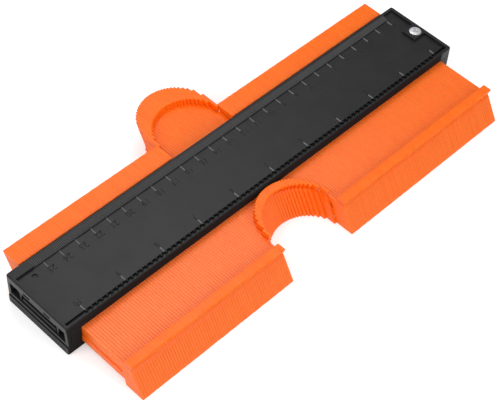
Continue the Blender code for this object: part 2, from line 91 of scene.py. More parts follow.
def add_camera():
    """The camera at the photograph's place, leaning a little."""
    lens = bpy.data.cameras.new("camera")
    lens.lens = LENS_MM
    lens.sensor_width = SENSOR_MM
    lens.sensor_fit = "HORIZONTAL"
    lens.shift_x = SHIFT_X
    lens.shift_y = SHIFT_Y
    lens.clip_start = NEAREST_SEEN
    camera = bpy.data.objects.new("camera", lens)
    SCENE.collection.objects.link(camera)
    level = (AIM - EYE).to_track_quat("-Z", "Y").to_matrix().to_4x4()
    camera.matrix_world = Matrix.Translation(EYE) @ level @ Matrix.Rotation(LEAN, 4, "Z")
    SCENE.camera = camera
    return camera


camera = add_camera()
print("camera up:", [round(part, 3) for part in camera.matrix_world.to_3x3().col[1]])

# %% [markdown]
# ## Helpers for node trees
#
# Materials and Geometry Nodes are both trees of nodes. Two small helpers keep the code that builds them
# short: one makes a group with named inputs and outputs, and the other adds a node and fills or links its
# inputs.

# %% Node helpers


def new_group(name, kind, inputs, outputs):
    """A node group; inputs and outputs are (label, socket type, default value or None)."""
    tree = bpy.data.node_groups.new(name, kind)
    for in_out, sockets in (("INPUT", inputs), ("OUTPUT", outputs)):
        for label, socket_type, value in sockets:
            socket = tree.interface.new_socket(label, in_out=in_out, socket_type=socket_type)
            if value is not None:
                socket.default_value = value
    return tree, tree.nodes.new("NodeGroupInput").outputs, tree.nodes.new("NodeGroupOutput").inputs


def feed(made, feeds):
    """Fills a node's inputs. A feed is a plain value or the output socket of another node."""
    for label, value in (feeds or {}).items():
        if isinstance(value, bpy.types.NodeSocket):
            made.id_data.links.new(value, made.inputs[label])
        else:
            made.inputs[label].default_value = value
    return made


def add_node(tree, kind, feeds=None, **settings):
    made = tree.nodes.new(kind)
    for name, value in settings.items():
        setattr(made, name, value)
    return feed(made, feeds)


def add_group(tree, group, feeds=None):
    """Places a shader node group inside a material."""
    return feed(add_node(tree, "ShaderNodeGroup", node_tree=group), feeds)


print("node helpers ready")

# %% [markdown]
# ## Moulded grain
#
# Injection-moulded plastic carries the fine spark-eroded grain of its mould. It is far too small to model,
# so it is a height for a Bump node: two noises of different size added up. The same noises, at a larger
# scale, make the gloss vary a little, which is what the eye notices on a real cover.

# %% Shader group: moulded grain
GRAIN_INPUTS = [
    ("Vector", "NodeSocketVector", None),
    ("Grain Scale", "NodeSocketFloat", 5200.0),
    ("Cloud Scale", "NodeSocketFloat", 55.0),
]
GRAIN_OUTPUTS = [("Height", "NodeSocketFloat", None), ("Clouds", "NodeSocketFloat", None)]


def moulded_grain_group():
    tree, given, result = new_group("moulded_grain", "ShaderNodeTree", GRAIN_INPUTS, GRAIN_OUTPUTS)
    fine = add_node(tree, "ShaderNodeTexNoise", {
        "Vector": given["Vector"], "Scale": given["Grain Scale"], "Detail": 2.0, "Roughness": 0.55})
    pits = add_node(tree, "ShaderNodeTexVoronoi", {
        "Vector": given["Vector"], "Scale": given["Grain Scale"]}, feature="SMOOTH_F1")
    height = add_node(tree, "ShaderNodeMath", {0: fine.outputs["Fac"], 1: pits.outputs["Distance"]})
    clouds = add_node(tree, "ShaderNodeTexNoise", {
        "Vector": given["Vector"], "Scale": given["Cloud Scale"], "Detail": 4.0, "Roughness": 0.6,
        "Distortion": 0.4})
    tree.links.new(height.outputs[0], result["Height"])
    tree.links.new(clouds.outputs["Fac"], result["Clouds"])
    return tree


moulded_grain = moulded_grain_group()
print("group:", moulded_grain.name)

# %% [markdown]
# ## Edge wear
#
# Handling polishes and pales the edges of plastic. The Bevel node gives the normal that a rounded edge
# would have. Where it differs from the real normal there is an edge, so one minus their dot product is a
# mask. A noise breaks the mask up, because wear is never even.

# %% Shader group: edge wear
WEAR_INPUTS = [
    ("Vector", "NodeSocketVector", None),
    ("Radius", "NodeSocketFloat", 0.0004),
    ("Patch Scale", "NodeSocketFloat", 420.0),
    ("Sharpness", "NodeSocketFloat", 6.0),
]


def edge_wear_group():
    tree, given, result = new_group(
        "edge_wear", "ShaderNodeTree", WEAR_INPUTS, [("Mask", "NodeSocketFloat", None)])
    rounded = add_node(tree, "ShaderNodeBevel", {"Radius": given["Radius"]}, samples=4)
    facing = add_node(tree, "ShaderNodeNewGeometry")
    same = add_node(tree, "ShaderNodeVectorMath", {
        0: rounded.outputs["Normal"], 1: facing.outputs["Normal"]}, operation="DOT_PRODUCT")
    apart = add_node(tree, "ShaderNodeMath", {0: 1.0, 1: same.outputs["Value"]}, operation="SUBTRACT")
    edge = add_node(tree, "ShaderNodeMath", {
        0: apart.outputs[0], 1: given["Sharpness"]}, operation="MULTIPLY", use_clamp=True)
    patches = add_node(tree, "ShaderNodeTexNoise", {
        "Vector": given["Vector"], "Scale": given["Patch Scale"], "Detail": 3.0})
    worn = add_node(tree, "ShaderNodeMath", {
        0: edge.outputs[0], 1: patches.outputs["Fac"]}, operation="MULTIPLY", use_clamp=True)
    tree.links.new(worn.outputs[0], result["Mask"])
    return tree


edge_wear = edge_wear_group()
print("group:", edge_wear.name)

# %% [markdown]
# ## Scuffs
#
# A piece that slides carries hair-fine scuffs along the direction in which it is rubbed. They could be
# painted on, but a noise that a Mapping node stretches before it is read gives them their direction at any
# size. A Map Range then keeps only the peaks of the noise, so that a few scuffs stand alone.

# %% Shader group: scuffs
SCUFF_INPUTS = [
    ("Vector", "NodeSocketVector", None),
    ("Stretch", "NodeSocketVector", (60.0, 1800.0, 1800.0)),
    ("Amount", "NodeSocketFloat", 0.35),
]
SCUFF_START = 0.58
SCUFF_END = 0.72


def scuff_group():
    tree, given, result = new_group(
        "scuffs", "ShaderNodeTree", SCUFF_INPUTS, [("Mask", "NodeSocketFloat", None)])
    stretched = add_node(tree, "ShaderNodeMapping", {
        "Vector": given["Vector"], "Scale": given["Stretch"]})
    streaks = add_node(tree, "ShaderNodeTexNoise", {
        "Vector": stretched.outputs["Vector"], "Scale": 1.0, "Detail": 3.0, "Roughness": 0.6})
    picked = add_node(tree, "ShaderNodeMapRange", {
        "Value": streaks.outputs["Fac"], "From Min": SCUFF_START, "From Max": SCUFF_END})
    mask = add_node(tree, "ShaderNodeMath", {
        0: picked.outputs["Result"], 1: given["Amount"]}, operation="MULTIPLY")
    tree.links.new(mask.outputs[0], result["Mask"])
    return tree


scuffs = scuff_group()
print("group:", scuffs.name)

# %% [markdown]
# ## Dust
#
# A thin film of dust lies on every face that looks up. The upward part of the face's normal says how much
# of it stays, and a soft noise makes it uneven. The group gives out a mask, so each material mixes in its
# own dust.

# %% Shader group: dust
DUST_INPUTS = [
    ("Vector", "NodeSocketVector", None),
    ("Amount", "NodeSocketFloat", 0.03),
    ("Scale", "NodeSocketFloat", 90.0),
]


def dust_group():
    tree, given, result = new_group(
        "dust", "ShaderNodeTree", DUST_INPUTS, [("Mask", "NodeSocketFloat", None)])
    facing = add_node(tree, "ShaderNodeNewGeometry")
    upward = add_node(tree, "ShaderNodeSeparateXYZ", {"Vector": facing.outputs["Normal"]})
    film = add_node(tree, "ShaderNodeTexNoise", {
        "Vector": given["Vector"], "Scale": given["Scale"], "Detail": 5.0, "Roughness": 0.65})
    lying = add_node(tree, "ShaderNodeMath", {
        0: upward.outputs["Z"], 1: film.outputs["Fac"]}, operation="MULTIPLY", use_clamp=True)
    mask = add_node(tree, "ShaderNodeMath", {
        0: lying.outputs[0], 1: given["Amount"]}, operation="MULTIPLY")
    tree.links.new(mask.outputs[0], result["Mask"])
    return tree


dust = dust_group()
print("group:", dust.name)

# %% [markdown]
# ## The black covers
#
# Both covers are black ABS with a satin grain. Most of what one sees on them is reflected light, so the
# base colour is darker than the photograph's grey, and the gloss does the rest. The clouds shift colour and
# roughness slightly, the wear greys the edges, and the dust lies on top. The long sides are duller than the
# top. The same function makes two greyer plastics that are a painted highlight: they go on the walls of the
# engraved marks that face the light, so that these walls look lit.

# %% Material: black plastic
BLACK = (0.006, 0.0059, 0.0065, 1)
BLACK_CLOUD = (0.011, 0.0108, 0.0115, 1)
BLACK_WORN = (0.055, 0.054, 0.057, 1)
DUST_GREY = (0.42, 0.41, 0.4, 1)
# The next four colours are painted highlights for the lit walls of the engraved marks and ticks.
MARK_HIGHLIGHT_GREY = (0.14, 0.14, 0.143, 1)
MARK_HIGHLIGHT_CLOUD = (0.19, 0.189, 0.192, 1)
TICK_HIGHLIGHT_GREY = (0.06, 0.06, 0.062, 1)
TICK_HIGHLIGHT_CLOUD = (0.09, 0.09, 0.092, 1)
BLACK_SPECULAR = 0.21
BLACK_BUMP = 0.35
BLACK_GRAIN_DEPTH = 0.00004
COVER_ROUGHNESS = (0.32, 0.42)
BASE_ROUGHNESS = (0.36, 0.48)
WALL_ROUGHNESS = (0.4, 0.5)
SIDE_ROUGHER = 0.6
LEAVES_END_X = 0.131
ENDS_START_X = 0.132


def new_material(name):
    material = bpy.data.materials.new(name)
    material.use_nodes = True
    tree = material.node_tree
    return material, tree, tree.nodes["Principled BSDF"]


def object_place(tree):
    return add_node(tree, "ShaderNodeTexCoord").outputs["Object"]


def mixed(tree, mask, first, second):
    """A colour between two others, as the mask says."""
    made = add_node(tree, "ShaderNodeMix", data_type="RGBA")
    colour_inputs = [socket for socket in made.inputs if socket.type == "RGBA"]
    for socket, value in zip((made.inputs["Factor"], *colour_inputs), (mask, first, second)):
        if isinstance(value, bpy.types.NodeSocket):
            tree.links.new(value, socket)
        else:
            socket.default_value = value
    return [socket for socket in made.outputs if socket.type == "RGBA"][0]


def ranged(tree, value, low, high):
    """A value from 0 to 1 mapped to low...high."""
    made = add_node(tree, "ShaderNodeMapRange", {"Value": value, "To Min": low, "To Max": high})
    return made.outputs["Result"]


def bump(tree, shader, height, strength, depth):
    """Lets a height tilt the shader's normal."""
    made = add_node(tree, "ShaderNodeBump", {"Strength": strength, "Distance": depth, "Height": height})
    tree.links.new(made.outputs["Normal"], shader.inputs["Normal"])


def rougher_sides(tree, place, roughness):
    """Makes the long sides duller than the rest, up to the end of the leaves at the screw."""
    facing = add_node(tree, "ShaderNodeNewGeometry")
    parts = add_node(tree, "ShaderNodeSeparateXYZ", {"Vector": facing.outputs["Normal"]})
    sideways = add_node(tree, "ShaderNodeMath", {0: parts.outputs["Y"]}, operation="ABSOLUTE")
    along = add_node(tree, "ShaderNodeSeparateXYZ", {"Vector": place})
    more = add_node(tree, "ShaderNodeMapRange", {
        "Value": along.outputs["X"], "From Min": LEAVES_END_X, "From Max": ENDS_START_X,
        "To Min": SIDE_ROUGHER, "To Max": 0.0})
    rougher = add_node(tree, "ShaderNodeMath", {
        0: sideways.outputs[0], 1: more.outputs["Result"], 2: roughness},
        operation="MULTIPLY_ADD", use_clamp=True)
    return rougher.outputs[0]


def black_plastic(name, roughness, black=BLACK, cloud=BLACK_CLOUD):
    material, tree, shader = new_material(name)
    place = object_place(tree)
    grain = add_group(tree, moulded_grain, {"Vector": place})
    wear = add_group(tree, edge_wear, {"Vector": place})
    film = add_group(tree, dust, {"Vector": place})
    colour = mixed(tree, grain.outputs["Clouds"], black, cloud)
    colour = mixed(tree, wear.outputs["Mask"], colour, BLACK_WORN)
    colour = mixed(tree, film.outputs["Mask"], colour, DUST_GREY)
    tree.links.new(colour, shader.inputs["Base Color"])
    cloudy = ranged(tree, grain.outputs["Clouds"], *roughness)
    tree.links.new(rougher_sides(tree, place, cloudy), shader.inputs["Roughness"])
    bump(tree, shader, grain.outputs["Height"], BLACK_BUMP, BLACK_GRAIN_DEPTH)
    shader.inputs["Specular IOR Level"].default_value = BLACK_SPECULAR
    return material


black_cover = black_plastic("black_satin_abs", COVER_ROUGHNESS)
black_base = black_plastic("black_satin_abs_base", BASE_ROUGHNESS)
# Painted highlight: greyer plastics for the lit walls of the long marks and of the fine ticks.
mark_highlight_finish = black_plastic("painted_highlight_black_abs_mark", WALL_ROUGHNESS, MARK_HIGHLIGHT_GREY, MARK_HIGHLIGHT_CLOUD)
tick_highlight_finish = black_plastic("painted_highlight_black_abs_tick", WALL_ROUGHNESS, TICK_HIGHLIGHT_GREY, TICK_HIGHLIGHT_CLOUD)
print("materials:", black_cover.name, black_base.name, mark_highlight_finish.name, tick_highlight_finish.name)

# %% [markdown]
# ## The orange leaves
#
# The leaves are a bright orange thermoplastic. No two leaves are quite the same: the row of leaves stores a
# number for each leaf as an attribute, and the material shifts its orange by it. Long scuffs run along each
# leaf, in the direction in which it slides. A paler orange is painted on the upper faces of the near plates
# as a sheen, strongest at the left, and the place on the object says where it goes. In the fine gaps between
# the plates a darker orange is painted as shade. Thin plastic lets some light through, so a little of the
# light is scattered below the surface.

# %% Material: orange leaves
ORANGE = (0.985, 0.145, 0.002, 1)
ORANGE_PALE = (0.995, 0.16, 0.004, 1)
ORANGE_SCUFFED = (1.0, 0.24, 0.04, 1)
# The next colour is a painted sheen for the upper faces of the near plates.
ORANGE_PAINTED_SHEEN = (1.0, 0.19, 0.045, 1)
# The next colour is painted shade for the side walls of the plates in the gaps between leaves.
ORANGE_PAINTED_GAP_SHADE = (0.62, 0.05, 0.001, 1)
SHEEN_SHARE = 0.85
GAP_LOW_Z = 0.0158
GAP_HIGH_Z = 0.01615
FAR_SHEEN_END_Y = 0.01
LEFT_SHEEN_X = -0.05
RIGHT_SHEEN_X = 0.11
RIGHT_SHEEN_SHARE = 0.35
PLATE_TOP_Z = 0.0165
HEAD_TOP_Z = 0.0185
LEAF_TONE = "leaf_tone"
LEAF_SPECULAR = 0.24
LEAF_ROUGHNESS = (0.3, 0.44)
LEAF_BUMP = 0.2
LEAF_GRAIN_DEPTH = 0.00003
LEAF_GLOW_WEIGHT = 0.3
LEAF_GLOW_RADIUS = (1.0, 0.25, 0.1)
LEAF_GLOW_DEPTH = 0.0012


def gap_mask(tree, normal_x, height):
    """Where painted shade goes: one on the side walls of the plates just under their top, deep between two
    leaves.
    """
    sideways = add_node(tree, "ShaderNodeMath", {0: normal_x}, operation="ABSOLUTE")
    above = add_node(tree, "ShaderNodeMath", {0: height, 1: GAP_LOW_Z}, operation="GREATER_THAN")
    below = add_node(tree, "ShaderNodeMath", {0: height, 1: GAP_HIGH_Z}, operation="LESS_THAN")
    band = add_node(tree, "ShaderNodeMath", {
        0: above.outputs[0], 1: below.outputs[0]}, operation="MULTIPLY")
    mask = add_node(tree, "ShaderNodeMath", {
        0: sideways.outputs[0], 1: band.outputs[0]}, operation="MULTIPLY", use_clamp=True)
    return mask.outputs[0]


def rubbed_mask(tree, place, normal_z):
    """How much painted sheen the upper faces of the near plates get, most of all at the left."""
    low = add_node(tree, "ShaderNodeMapRange", {
        "Value": place.outputs["Z"], "From Min": PLATE_TOP_Z, "From Max": HEAD_TOP_Z,
        "To Min": SHEEN_SHARE, "To Max": 0.0})
    near = add_node(tree, "ShaderNodeMapRange", {
        "Value": place.outputs["Y"], "From Min": -FAR_SHEEN_END_Y, "From Max": FAR_SHEEN_END_Y,
        "To Min": 1.0, "To Max": 0.0})
    left = add_node(tree, "ShaderNodeMapRange", {
        "Value": place.outputs["X"], "From Min": LEFT_SHEEN_X, "From Max": RIGHT_SHEEN_X,
        "To Min": 1.0, "To Max": RIGHT_SHEEN_SHARE})
    mask = add_node(tree, "ShaderNodeMath", {
        0: low.outputs["Result"], 1: near.outputs["Result"]}, operation="MULTIPLY")
    mask = add_node(tree, "ShaderNodeMath", {
        0: mask.outputs[0], 1: left.outputs["Result"]}, operation="MULTIPLY")
    mask = add_node(tree, "ShaderNodeMath", {
        0: mask.outputs[0], 1: normal_z}, operation="MULTIPLY", use_clamp=True)
    return mask.outputs[0]


def orange_plastic():
    material, tree, shader = new_material("orange_leaf_plastic")
    place = object_place(tree)
    tone = add_node(tree, "ShaderNodeAttribute", attribute_name=LEAF_TONE)
    grain = add_group(tree, moulded_grain, {"Vector": place, "Grain Scale": 3800.0, "Cloud Scale": 70.0})
    rub = add_group(tree, scuffs, {"Vector": place, "Stretch": (2400.0, 70.0, 1600.0), "Amount": 0.3})
    wear = add_group(tree, edge_wear, {"Vector": place, "Radius": 0.0002, "Sharpness": 3.0})
    parts = add_node(tree, "ShaderNodeSeparateXYZ", {"Vector": place})
    geometry = add_node(tree, "ShaderNodeNewGeometry")
    facing = add_node(tree, "ShaderNodeSeparateXYZ", {"Vector": geometry.outputs["Normal"]})
    colour = mixed(tree, tone.outputs["Fac"], ORANGE, ORANGE_PALE)
    # Painted sheen: a paler orange on the upper faces of the near plates, strongest at the left.
    colour = mixed(tree, rubbed_mask(tree, parts, facing.outputs["Z"]), colour, ORANGE_PAINTED_SHEEN)
    # Painted shade: a darker orange on the side walls of the plates, in the gaps between leaves.
    colour = mixed(tree, gap_mask(tree, facing.outputs["X"], parts.outputs["Z"]), colour, ORANGE_PAINTED_GAP_SHADE)
    colour = mixed(tree, rub.outputs["Mask"], colour, ORANGE_SCUFFED)
    colour = mixed(tree, wear.outputs["Mask"], colour, ORANGE_SCUFFED)
    tree.links.new(colour, shader.inputs["Base Color"])
    tree.links.new(ranged(tree, grain.outputs["Clouds"], *LEAF_ROUGHNESS), shader.inputs["Roughness"])
    bump(tree, shader, grain.outputs["Height"], LEAF_BUMP, LEAF_GRAIN_DEPTH)
    shader.inputs["Specular IOR Level"].default_value = LEAF_SPECULAR
    shader.inputs["Subsurface Weight"].default_value = LEAF_GLOW_WEIGHT
    shader.inputs["Subsurface Radius"].default_value = LEAF_GLOW_RADIUS
    shader.inputs["Subsurface Scale"].default_value = LEAF_GLOW_DEPTH
    return material


orange_leaf = orange_plastic()
print("material:", orange_leaf.name)

# %% [markdown]
# ## Steel and rubber
#
# The screw is bright plated steel, turned on a lathe. A wave texture centred on the screw's own axis draws
# the fine turning rings. The nut is duller zinc with soft blotches. The friction strips are dark foam
# rubber.

# %% Materials: plated screw, zinc nut, rubber strips
SCREW_LOW, SCREW_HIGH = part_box("tension_screw")
SCREW_X = (SCREW_LOW.x + SCREW_HIGH.x) / 2
SCREW_Y = (SCREW_LOW.y + SCREW_HIGH.y) / 2
SCREW_METALLIC = 0.55
SCREW_BRIGHT = (0.8, 0.8, 0.82, 1)
SCREW_STAINED = (0.42, 0.42, 0.45, 1)
SCREW_ROUGHNESS = (0.25, 0.45)
ZINC_GREY = (0.5, 0.5, 0.52, 1)
ZINC_PALE = (0.66, 0.65, 0.62, 1)
ZINC_ROUGHNESS = (0.3, 0.55)
FOAM_BLACK = (0.012, 0.012, 0.012, 1)
FOAM_GREY = (0.04, 0.04, 0.042, 1)
FOAM_ROUGHNESS = 0.9


def plated_steel():
    material, tree, shader = new_material("plated_screw_steel")
    centred = add_node(tree, "ShaderNodeMapping", {
        "Vector": object_place(tree), "Location": (-SCREW_X, -SCREW_Y, 0.0)})
    rings = add_node(tree, "ShaderNodeTexWave", {
        "Vector": centred.outputs["Vector"], "Scale": 1100.0, "Distortion": 1.5, "Detail": 2.0},
        wave_type="RINGS", rings_direction="Z")
    stains = add_node(tree, "ShaderNodeTexNoise", {
        "Vector": centred.outputs["Vector"], "Scale": 700.0, "Detail": 4.0})
    colour = mixed(tree, stains.outputs["Fac"], SCREW_BRIGHT, SCREW_STAINED)
    tree.links.new(colour, shader.inputs["Base Color"])
    tree.links.new(ranged(tree, stains.outputs["Fac"], *SCREW_ROUGHNESS), shader.inputs["Roughness"])
    bump(tree, shader, rings.outputs["Fac"], strength=0.3, depth=0.00002)
    shader.inputs["Metallic"].default_value = SCREW_METALLIC
    return material


def zinc_steel():
    material, tree, shader = new_material("zinc_nut_steel")
    blotches = add_node(tree, "ShaderNodeTexNoise", {
        "Vector": object_place(tree), "Scale": 900.0, "Detail": 4.0})
    colour = mixed(tree, blotches.outputs["Fac"], ZINC_GREY, ZINC_PALE)
    tree.links.new(colour, shader.inputs["Base Color"])
    tree.links.new(ranged(tree, blotches.outputs["Fac"], *ZINC_ROUGHNESS), shader.inputs["Roughness"])
    shader.inputs["Metallic"].default_value = 1.0
    return material


def strip_foam():
    material, tree, shader = new_material("strip_foam_rubber")
    place = object_place(tree)
    cells = add_node(tree, "ShaderNodeTexVoronoi", {"Vector": place, "Scale": 2600.0})
    colour = mixed(tree, cells.outputs["Distance"], FOAM_BLACK, FOAM_GREY)
    tree.links.new(colour, shader.inputs["Base Color"])
    bump(tree, shader, cells.outputs["Distance"], strength=0.6, depth=0.0001)
    shader.inputs["Roughness"].default_value = FOAM_ROUGHNESS
    return material


screw_steel = plated_steel()
nut_steel = zinc_steel()
strip_rubber = strip_foam()
print("materials:", screw_steel.name, nut_steel.name, strip_rubber.name)

# %% [markdown]
# ## Helpers for meshes
#
# Modifiers are worked in with new_from_object, which reads the evaluated object and gives a plain mesh. A
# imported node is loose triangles, so a copy of it is merged first, and its flat faces are joined again
# before anything is rounded or cut. Broad faces are shaded flat, because smooth shading would bend the
# light across them.

# %% Mesh helpers
MERGE_DISTANCE = 0.000002
FLAT_ANGLE = math.radians(1.0)
BROAD_AREA = 0.000004
BEVEL_STEPS = 2


def show(name, mesh):
    made = bpy.data.objects.new(name, mesh)
    SCENE.collection.objects.link(made)
    return made


def shape_piece(name, shape):
    """Turns a shape that was built from its points and faces into an object."""
    mesh = bpy.data.meshes.new(name)
    shape.to_mesh(mesh)
    shape.free()
    return show(name, mesh)


def slab(name, low, high):
    """A plain box between two corners."""
    shape = bmesh.new()
    low, high = Vector(low), Vector(high)
    place = Matrix.Translation((low + high) / 2) @ Matrix.Diagonal((*(high - low), 1))
    bmesh.ops.create_cube(shape, size=1, matrix=place)
    return shape_piece(name, shape)


def flattened(source, name):
    """The object's mesh with its modifiers worked in."""
    bpy.context.view_layer.update()
    graph = bpy.context.evaluated_depsgraph_get()
    mesh = bpy.data.meshes.new_from_object(source.evaluated_get(graph))
    mesh.name = name
    return mesh


def work_in(piece):
    """Replaces the piece's mesh and modifiers by the finished mesh."""
    mesh = flattened(piece, piece.name)
    piece.modifiers.clear()
    piece.data = mesh


def remove(*objects):
    for old in objects:
        bpy.data.objects.remove(old, do_unlink=True)


def merged_copy(node, name):
    """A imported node's mesh as one joined shape that can be rounded and cut."""
    shape = bmesh.new()
    shape.from_mesh(frame["nodes"][node].data)
    bmesh.ops.remove_doubles(shape, verts=shape.verts, dist=MERGE_DISTANCE)
    bmesh.ops.dissolve_limit(
        shape, angle_limit=FLAT_ANGLE, use_dissolve_boundaries=False, verts=shape.verts,
        edges=shape.edges)
    return shape_piece(name, shape)


def round_edges(piece, width, angle):
    bevel = piece.modifiers.new("rounded_edges", "BEVEL")
    bevel.width = width
    bevel.segments = BEVEL_STEPS
    bevel.limit_method = "ANGLE"
    bevel.angle_limit = math.radians(angle)
    bevel.use_clamp_overlap = True
    work_in(piece)


def combine(piece, operation, others, crossing=False):
    """Joins or cuts with each of the others, then removes them. A crossing one passes through itself."""
    for other in others:
        modifier = piece.modifiers.new("combine", "BOOLEAN")
        modifier.operation = operation
        modifier.solver = "EXACT"
        modifier.use_self = crossing
        modifier.object = other
        work_in(piece)
    remove(*others)


def carve(piece, *cutters, crossing=False):
    combine(piece, "DIFFERENCE", cutters, crossing)


def join_on(piece, *others):
    combine(piece, "UNION", others)


def odd_edges(piece):
    """How many edges don't join exactly two faces, as at a hole or where a shape crosses itself."""
    shape = bmesh.new()
    shape.from_mesh(piece.data)
    count = sum(len(edge.link_faces) != 2 for edge in shape.edges)
    shape.free()
    return count


def set_finish(piece, material):
    """Gives the whole piece one material."""
    piece.data.materials.clear()
    piece.data.materials.append(material)


def shade(piece, angle):
    """Smooth shading that stays flat on large faces: small bevels bend the light and broad faces don't."""
    piece.data.shade_smooth()
    piece.data.set_sharp_from_angle(angle=math.radians(angle))
    for face in piece.data.polygons:
        face.use_smooth = face.area < BROAD_AREA
    weighted = piece.modifiers.new("weighted_normals", "WEIGHTED_NORMAL")
    weighted.mode = "FACE_AREA"
    weighted.keep_sharp = True
    work_in(piece)


print("mesh helpers ready")

# %% [markdown]
# ## A row of equal blocks
#
# The millimetre ticks, the longer centimetre and inch marks, the notches and bars of the near groove and
# the fine grooves of the lower lip are all the same thing: one small block repeated along a line. A
# Geometry Nodes tree makes such a row from a count, a step and a block size. Mesh Line makes the points,
# Instance on Points puts a cube on each, and Realize Instances turns them into real faces that can cut.

# %% Geometry Nodes: a row of blocks
ROW_INPUTS = [
    ("Geometry", "NodeSocketGeometry", None),
    ("Count", "NodeSocketInt", 10),
    ("First", "NodeSocketVector", (0.0, 0.0, 0.0)),
    ("Step", "NodeSocketVector", (0.001, 0.0, 0.0)),
    ("Size", "NodeSocketVector", (0.0004, 0.003, 0.001)),
    ("Tilt", "NodeSocketRotation", None),
    ("Material", "NodeSocketMaterial", None),
]
GEOMETRY_OUT = [("Geometry", "NodeSocketGeometry", None)]


def block_row_tree():
    tree, given, result = new_group("block_row", "GeometryNodeTree", ROW_INPUTS, GEOMETRY_OUT)
    line = add_node(tree, "GeometryNodeMeshLine", {
        "Count": given["Count"], "Start Location": given["First"], "Offset": given["Step"]}, mode="OFFSET")
    cube = add_node(tree, "GeometryNodeMeshCube", {"Size": given["Size"]})
    placed = add_node(tree, "GeometryNodeInstanceOnPoints", {
        "Points": line.outputs["Mesh"], "Instance": cube.outputs["Mesh"], "Rotation": given["Tilt"]})
    real = add_node(tree, "GeometryNodeRealizeInstances", {"Geometry": placed.outputs["Instances"]})
    painted = add_node(tree, "GeometryNodeSetMaterial", {
        "Geometry": real.outputs["Geometry"], "Material": given["Material"]})
    tree.links.new(painted.outputs["Geometry"], result["Geometry"])
    return tree


def grown(name, tree, values, base=None):
    """Runs a tree once with these input values and returns its result as a plain object."""
    host = show(name + "_host", base or bpy.data.meshes.new(name + "_base"))
    modifier = host.modifiers.new(name, "NODES")
    modifier.node_group = tree
    for item in tree.interface.items_tree:
        if item.in_out == "INPUT" and item.name in values:
            modifier[item.identifier] = values[item.name]
    made = show(name, flattened(host, name))
    remove(host)
    return made


block_row = block_row_tree()
print("tree:", block_row.name)

# %% [markdown]
# ## The upper cover
#
# The upper cover is one moulding with a ruler on top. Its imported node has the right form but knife-sharp
# edges. A real mould leaves every edge a little round, and that thin line of light along the rims is what
# makes a black object readable, so the edges are bevelled before the marks are cut.

# %% Upper cover: rounded edges
COVER_EDGE = 0.0002
COVER_EDGE_ANGLE = 40
COVER_SMOOTH_ANGLE = 35

ruler_cover = merged_copy("upper_cover", "ruler_cover")
round_edges(ruler_cover, COVER_EDGE, COVER_EDGE_ANGLE)
print("ruler cover:", len(ruler_cover.data.polygons), "faces")

# %% [markdown]
# ## The ruler's marks
#
# The far edge carries centimetres and millimetres, the near edge inches, and both count from the end with
# the screw. Their places follow from the cover's box and the two steps, 10 mm and 25.4 mm. First the
# slanting band gets a sloping foot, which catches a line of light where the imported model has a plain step.
# The millimetre marks are cut across the band, so their row is tilted by the band's slope. All marks are
# V-shaped: a block stands on its edge, so one wall of each groove catches the light and the other stays
# dark. Every cutter runs a little past the wall where it ends, because a Boolean fails where two faces lie
# in one plane.

# %% Ruler: rows of marks
MILLIMETRE = 0.001
CENTIMETRE = 10 * MILLIMETRE
INCH = 0.0254
ZERO_CM_FROM_END = 0.01025
ZERO_INCH_FROM_END = 0.01005
ZERO_CM_X = BODY_HIGH.x - ZERO_CM_FROM_END
ZERO_INCH_X = BODY_HIGH.x - ZERO_INCH_FROM_END
CM_COUNT = 26
INCH_COUNT = 11
TICKS_PER_CM = 10
TICKS_AFTER_LAST_CM = 5

FLOOR_DROP = 0.0015
FLOOR_Z = BODY_HIGH.z - FLOOR_DROP
FAR_RIM = 0.002
BAND_WIDTH = 0.0036
BAND_DROP = 0.0006
NEAR_RIM = 0.0015
NEAR_GROOVE = 0.00255
NEAR_GROOVE_DEPTH = 0.0014
BAND_OUTER = BODY_HIGH.y - FAR_RIM
BAND_INNER = BAND_OUTER - BAND_WIDTH
GROOVE_NEAR = BODY_LOW.y + NEAR_RIM
GROOVE_FAR = GROOVE_NEAR + NEAR_GROOVE

PAST_WALL = 0.0001
BAND_FROM_LEFT = 0.01285
BAND_FROM_RIGHT = 0.00895
EDGE_BELOW_BAND = 0.0003
FOOT_REACH = 0.0005
TICK_SIDE = 0.0005
TICK_DEPTH = 0.00028
MARK_SIDE = 0.0008
MARK_DEPTH = 0.0004
CM_MARK_LENGTH = 0.0038
INCH_MARK_LENGTH = 0.0034
ON_EDGE = math.pi / 4


def block_line(name, count, first, step, size, tilt=(0.0, 0.0, 0.0)):
    """A row of equal blocks as one plain object."""
    return grown(name, block_row, {
        "Count": count, "First": first, "Step": step, "Size": size, "Tilt": tilt, "Material": black_cover})


def millimetre_ticks():
    """Cutters for the fine ticks, laid across the slanting band."""
    slope = math.atan2(BAND_DROP, BAND_WIDTH)
    tilt = (Matrix.Rotation(slope, 3, "X") @ Matrix.Rotation(ON_EDGE, 3, "Y")).to_euler()
    middle_y = (BAND_INNER + BAND_OUTER) / 2
    surface_z = BODY_HIGH.z - BAND_DROP / 2
    length = BAND_WIDTH / math.cos(slope) + 2 * PAST_WALL
    count = (CM_COUNT - 1) * TICKS_PER_CM + 1 + TICKS_AFTER_LAST_CM
    lift = TICK_SIDE / math.sqrt(2) - TICK_DEPTH
    return block_line(
        "millimetre_ticks", count, (ZERO_CM_X, middle_y, surface_z + lift), (-MILLIMETRE, 0.0, 0.0),
        (TICK_SIDE, length, TICK_SIDE), tilt)


def long_marks(name, count, zero_x, step, inner, outer):
    """Cutters for the long marks, one step apart, between two places across the cover."""
    lift = MARK_SIDE / math.sqrt(2) - MARK_DEPTH
    return block_line(
        name, count, (zero_x, (inner + outer) / 2, FLOOR_Z + lift), (-step, 0.0, 0.0),
        (MARK_SIDE, outer - inner, MARK_SIDE), (0.0, ON_EDGE, 0.0))


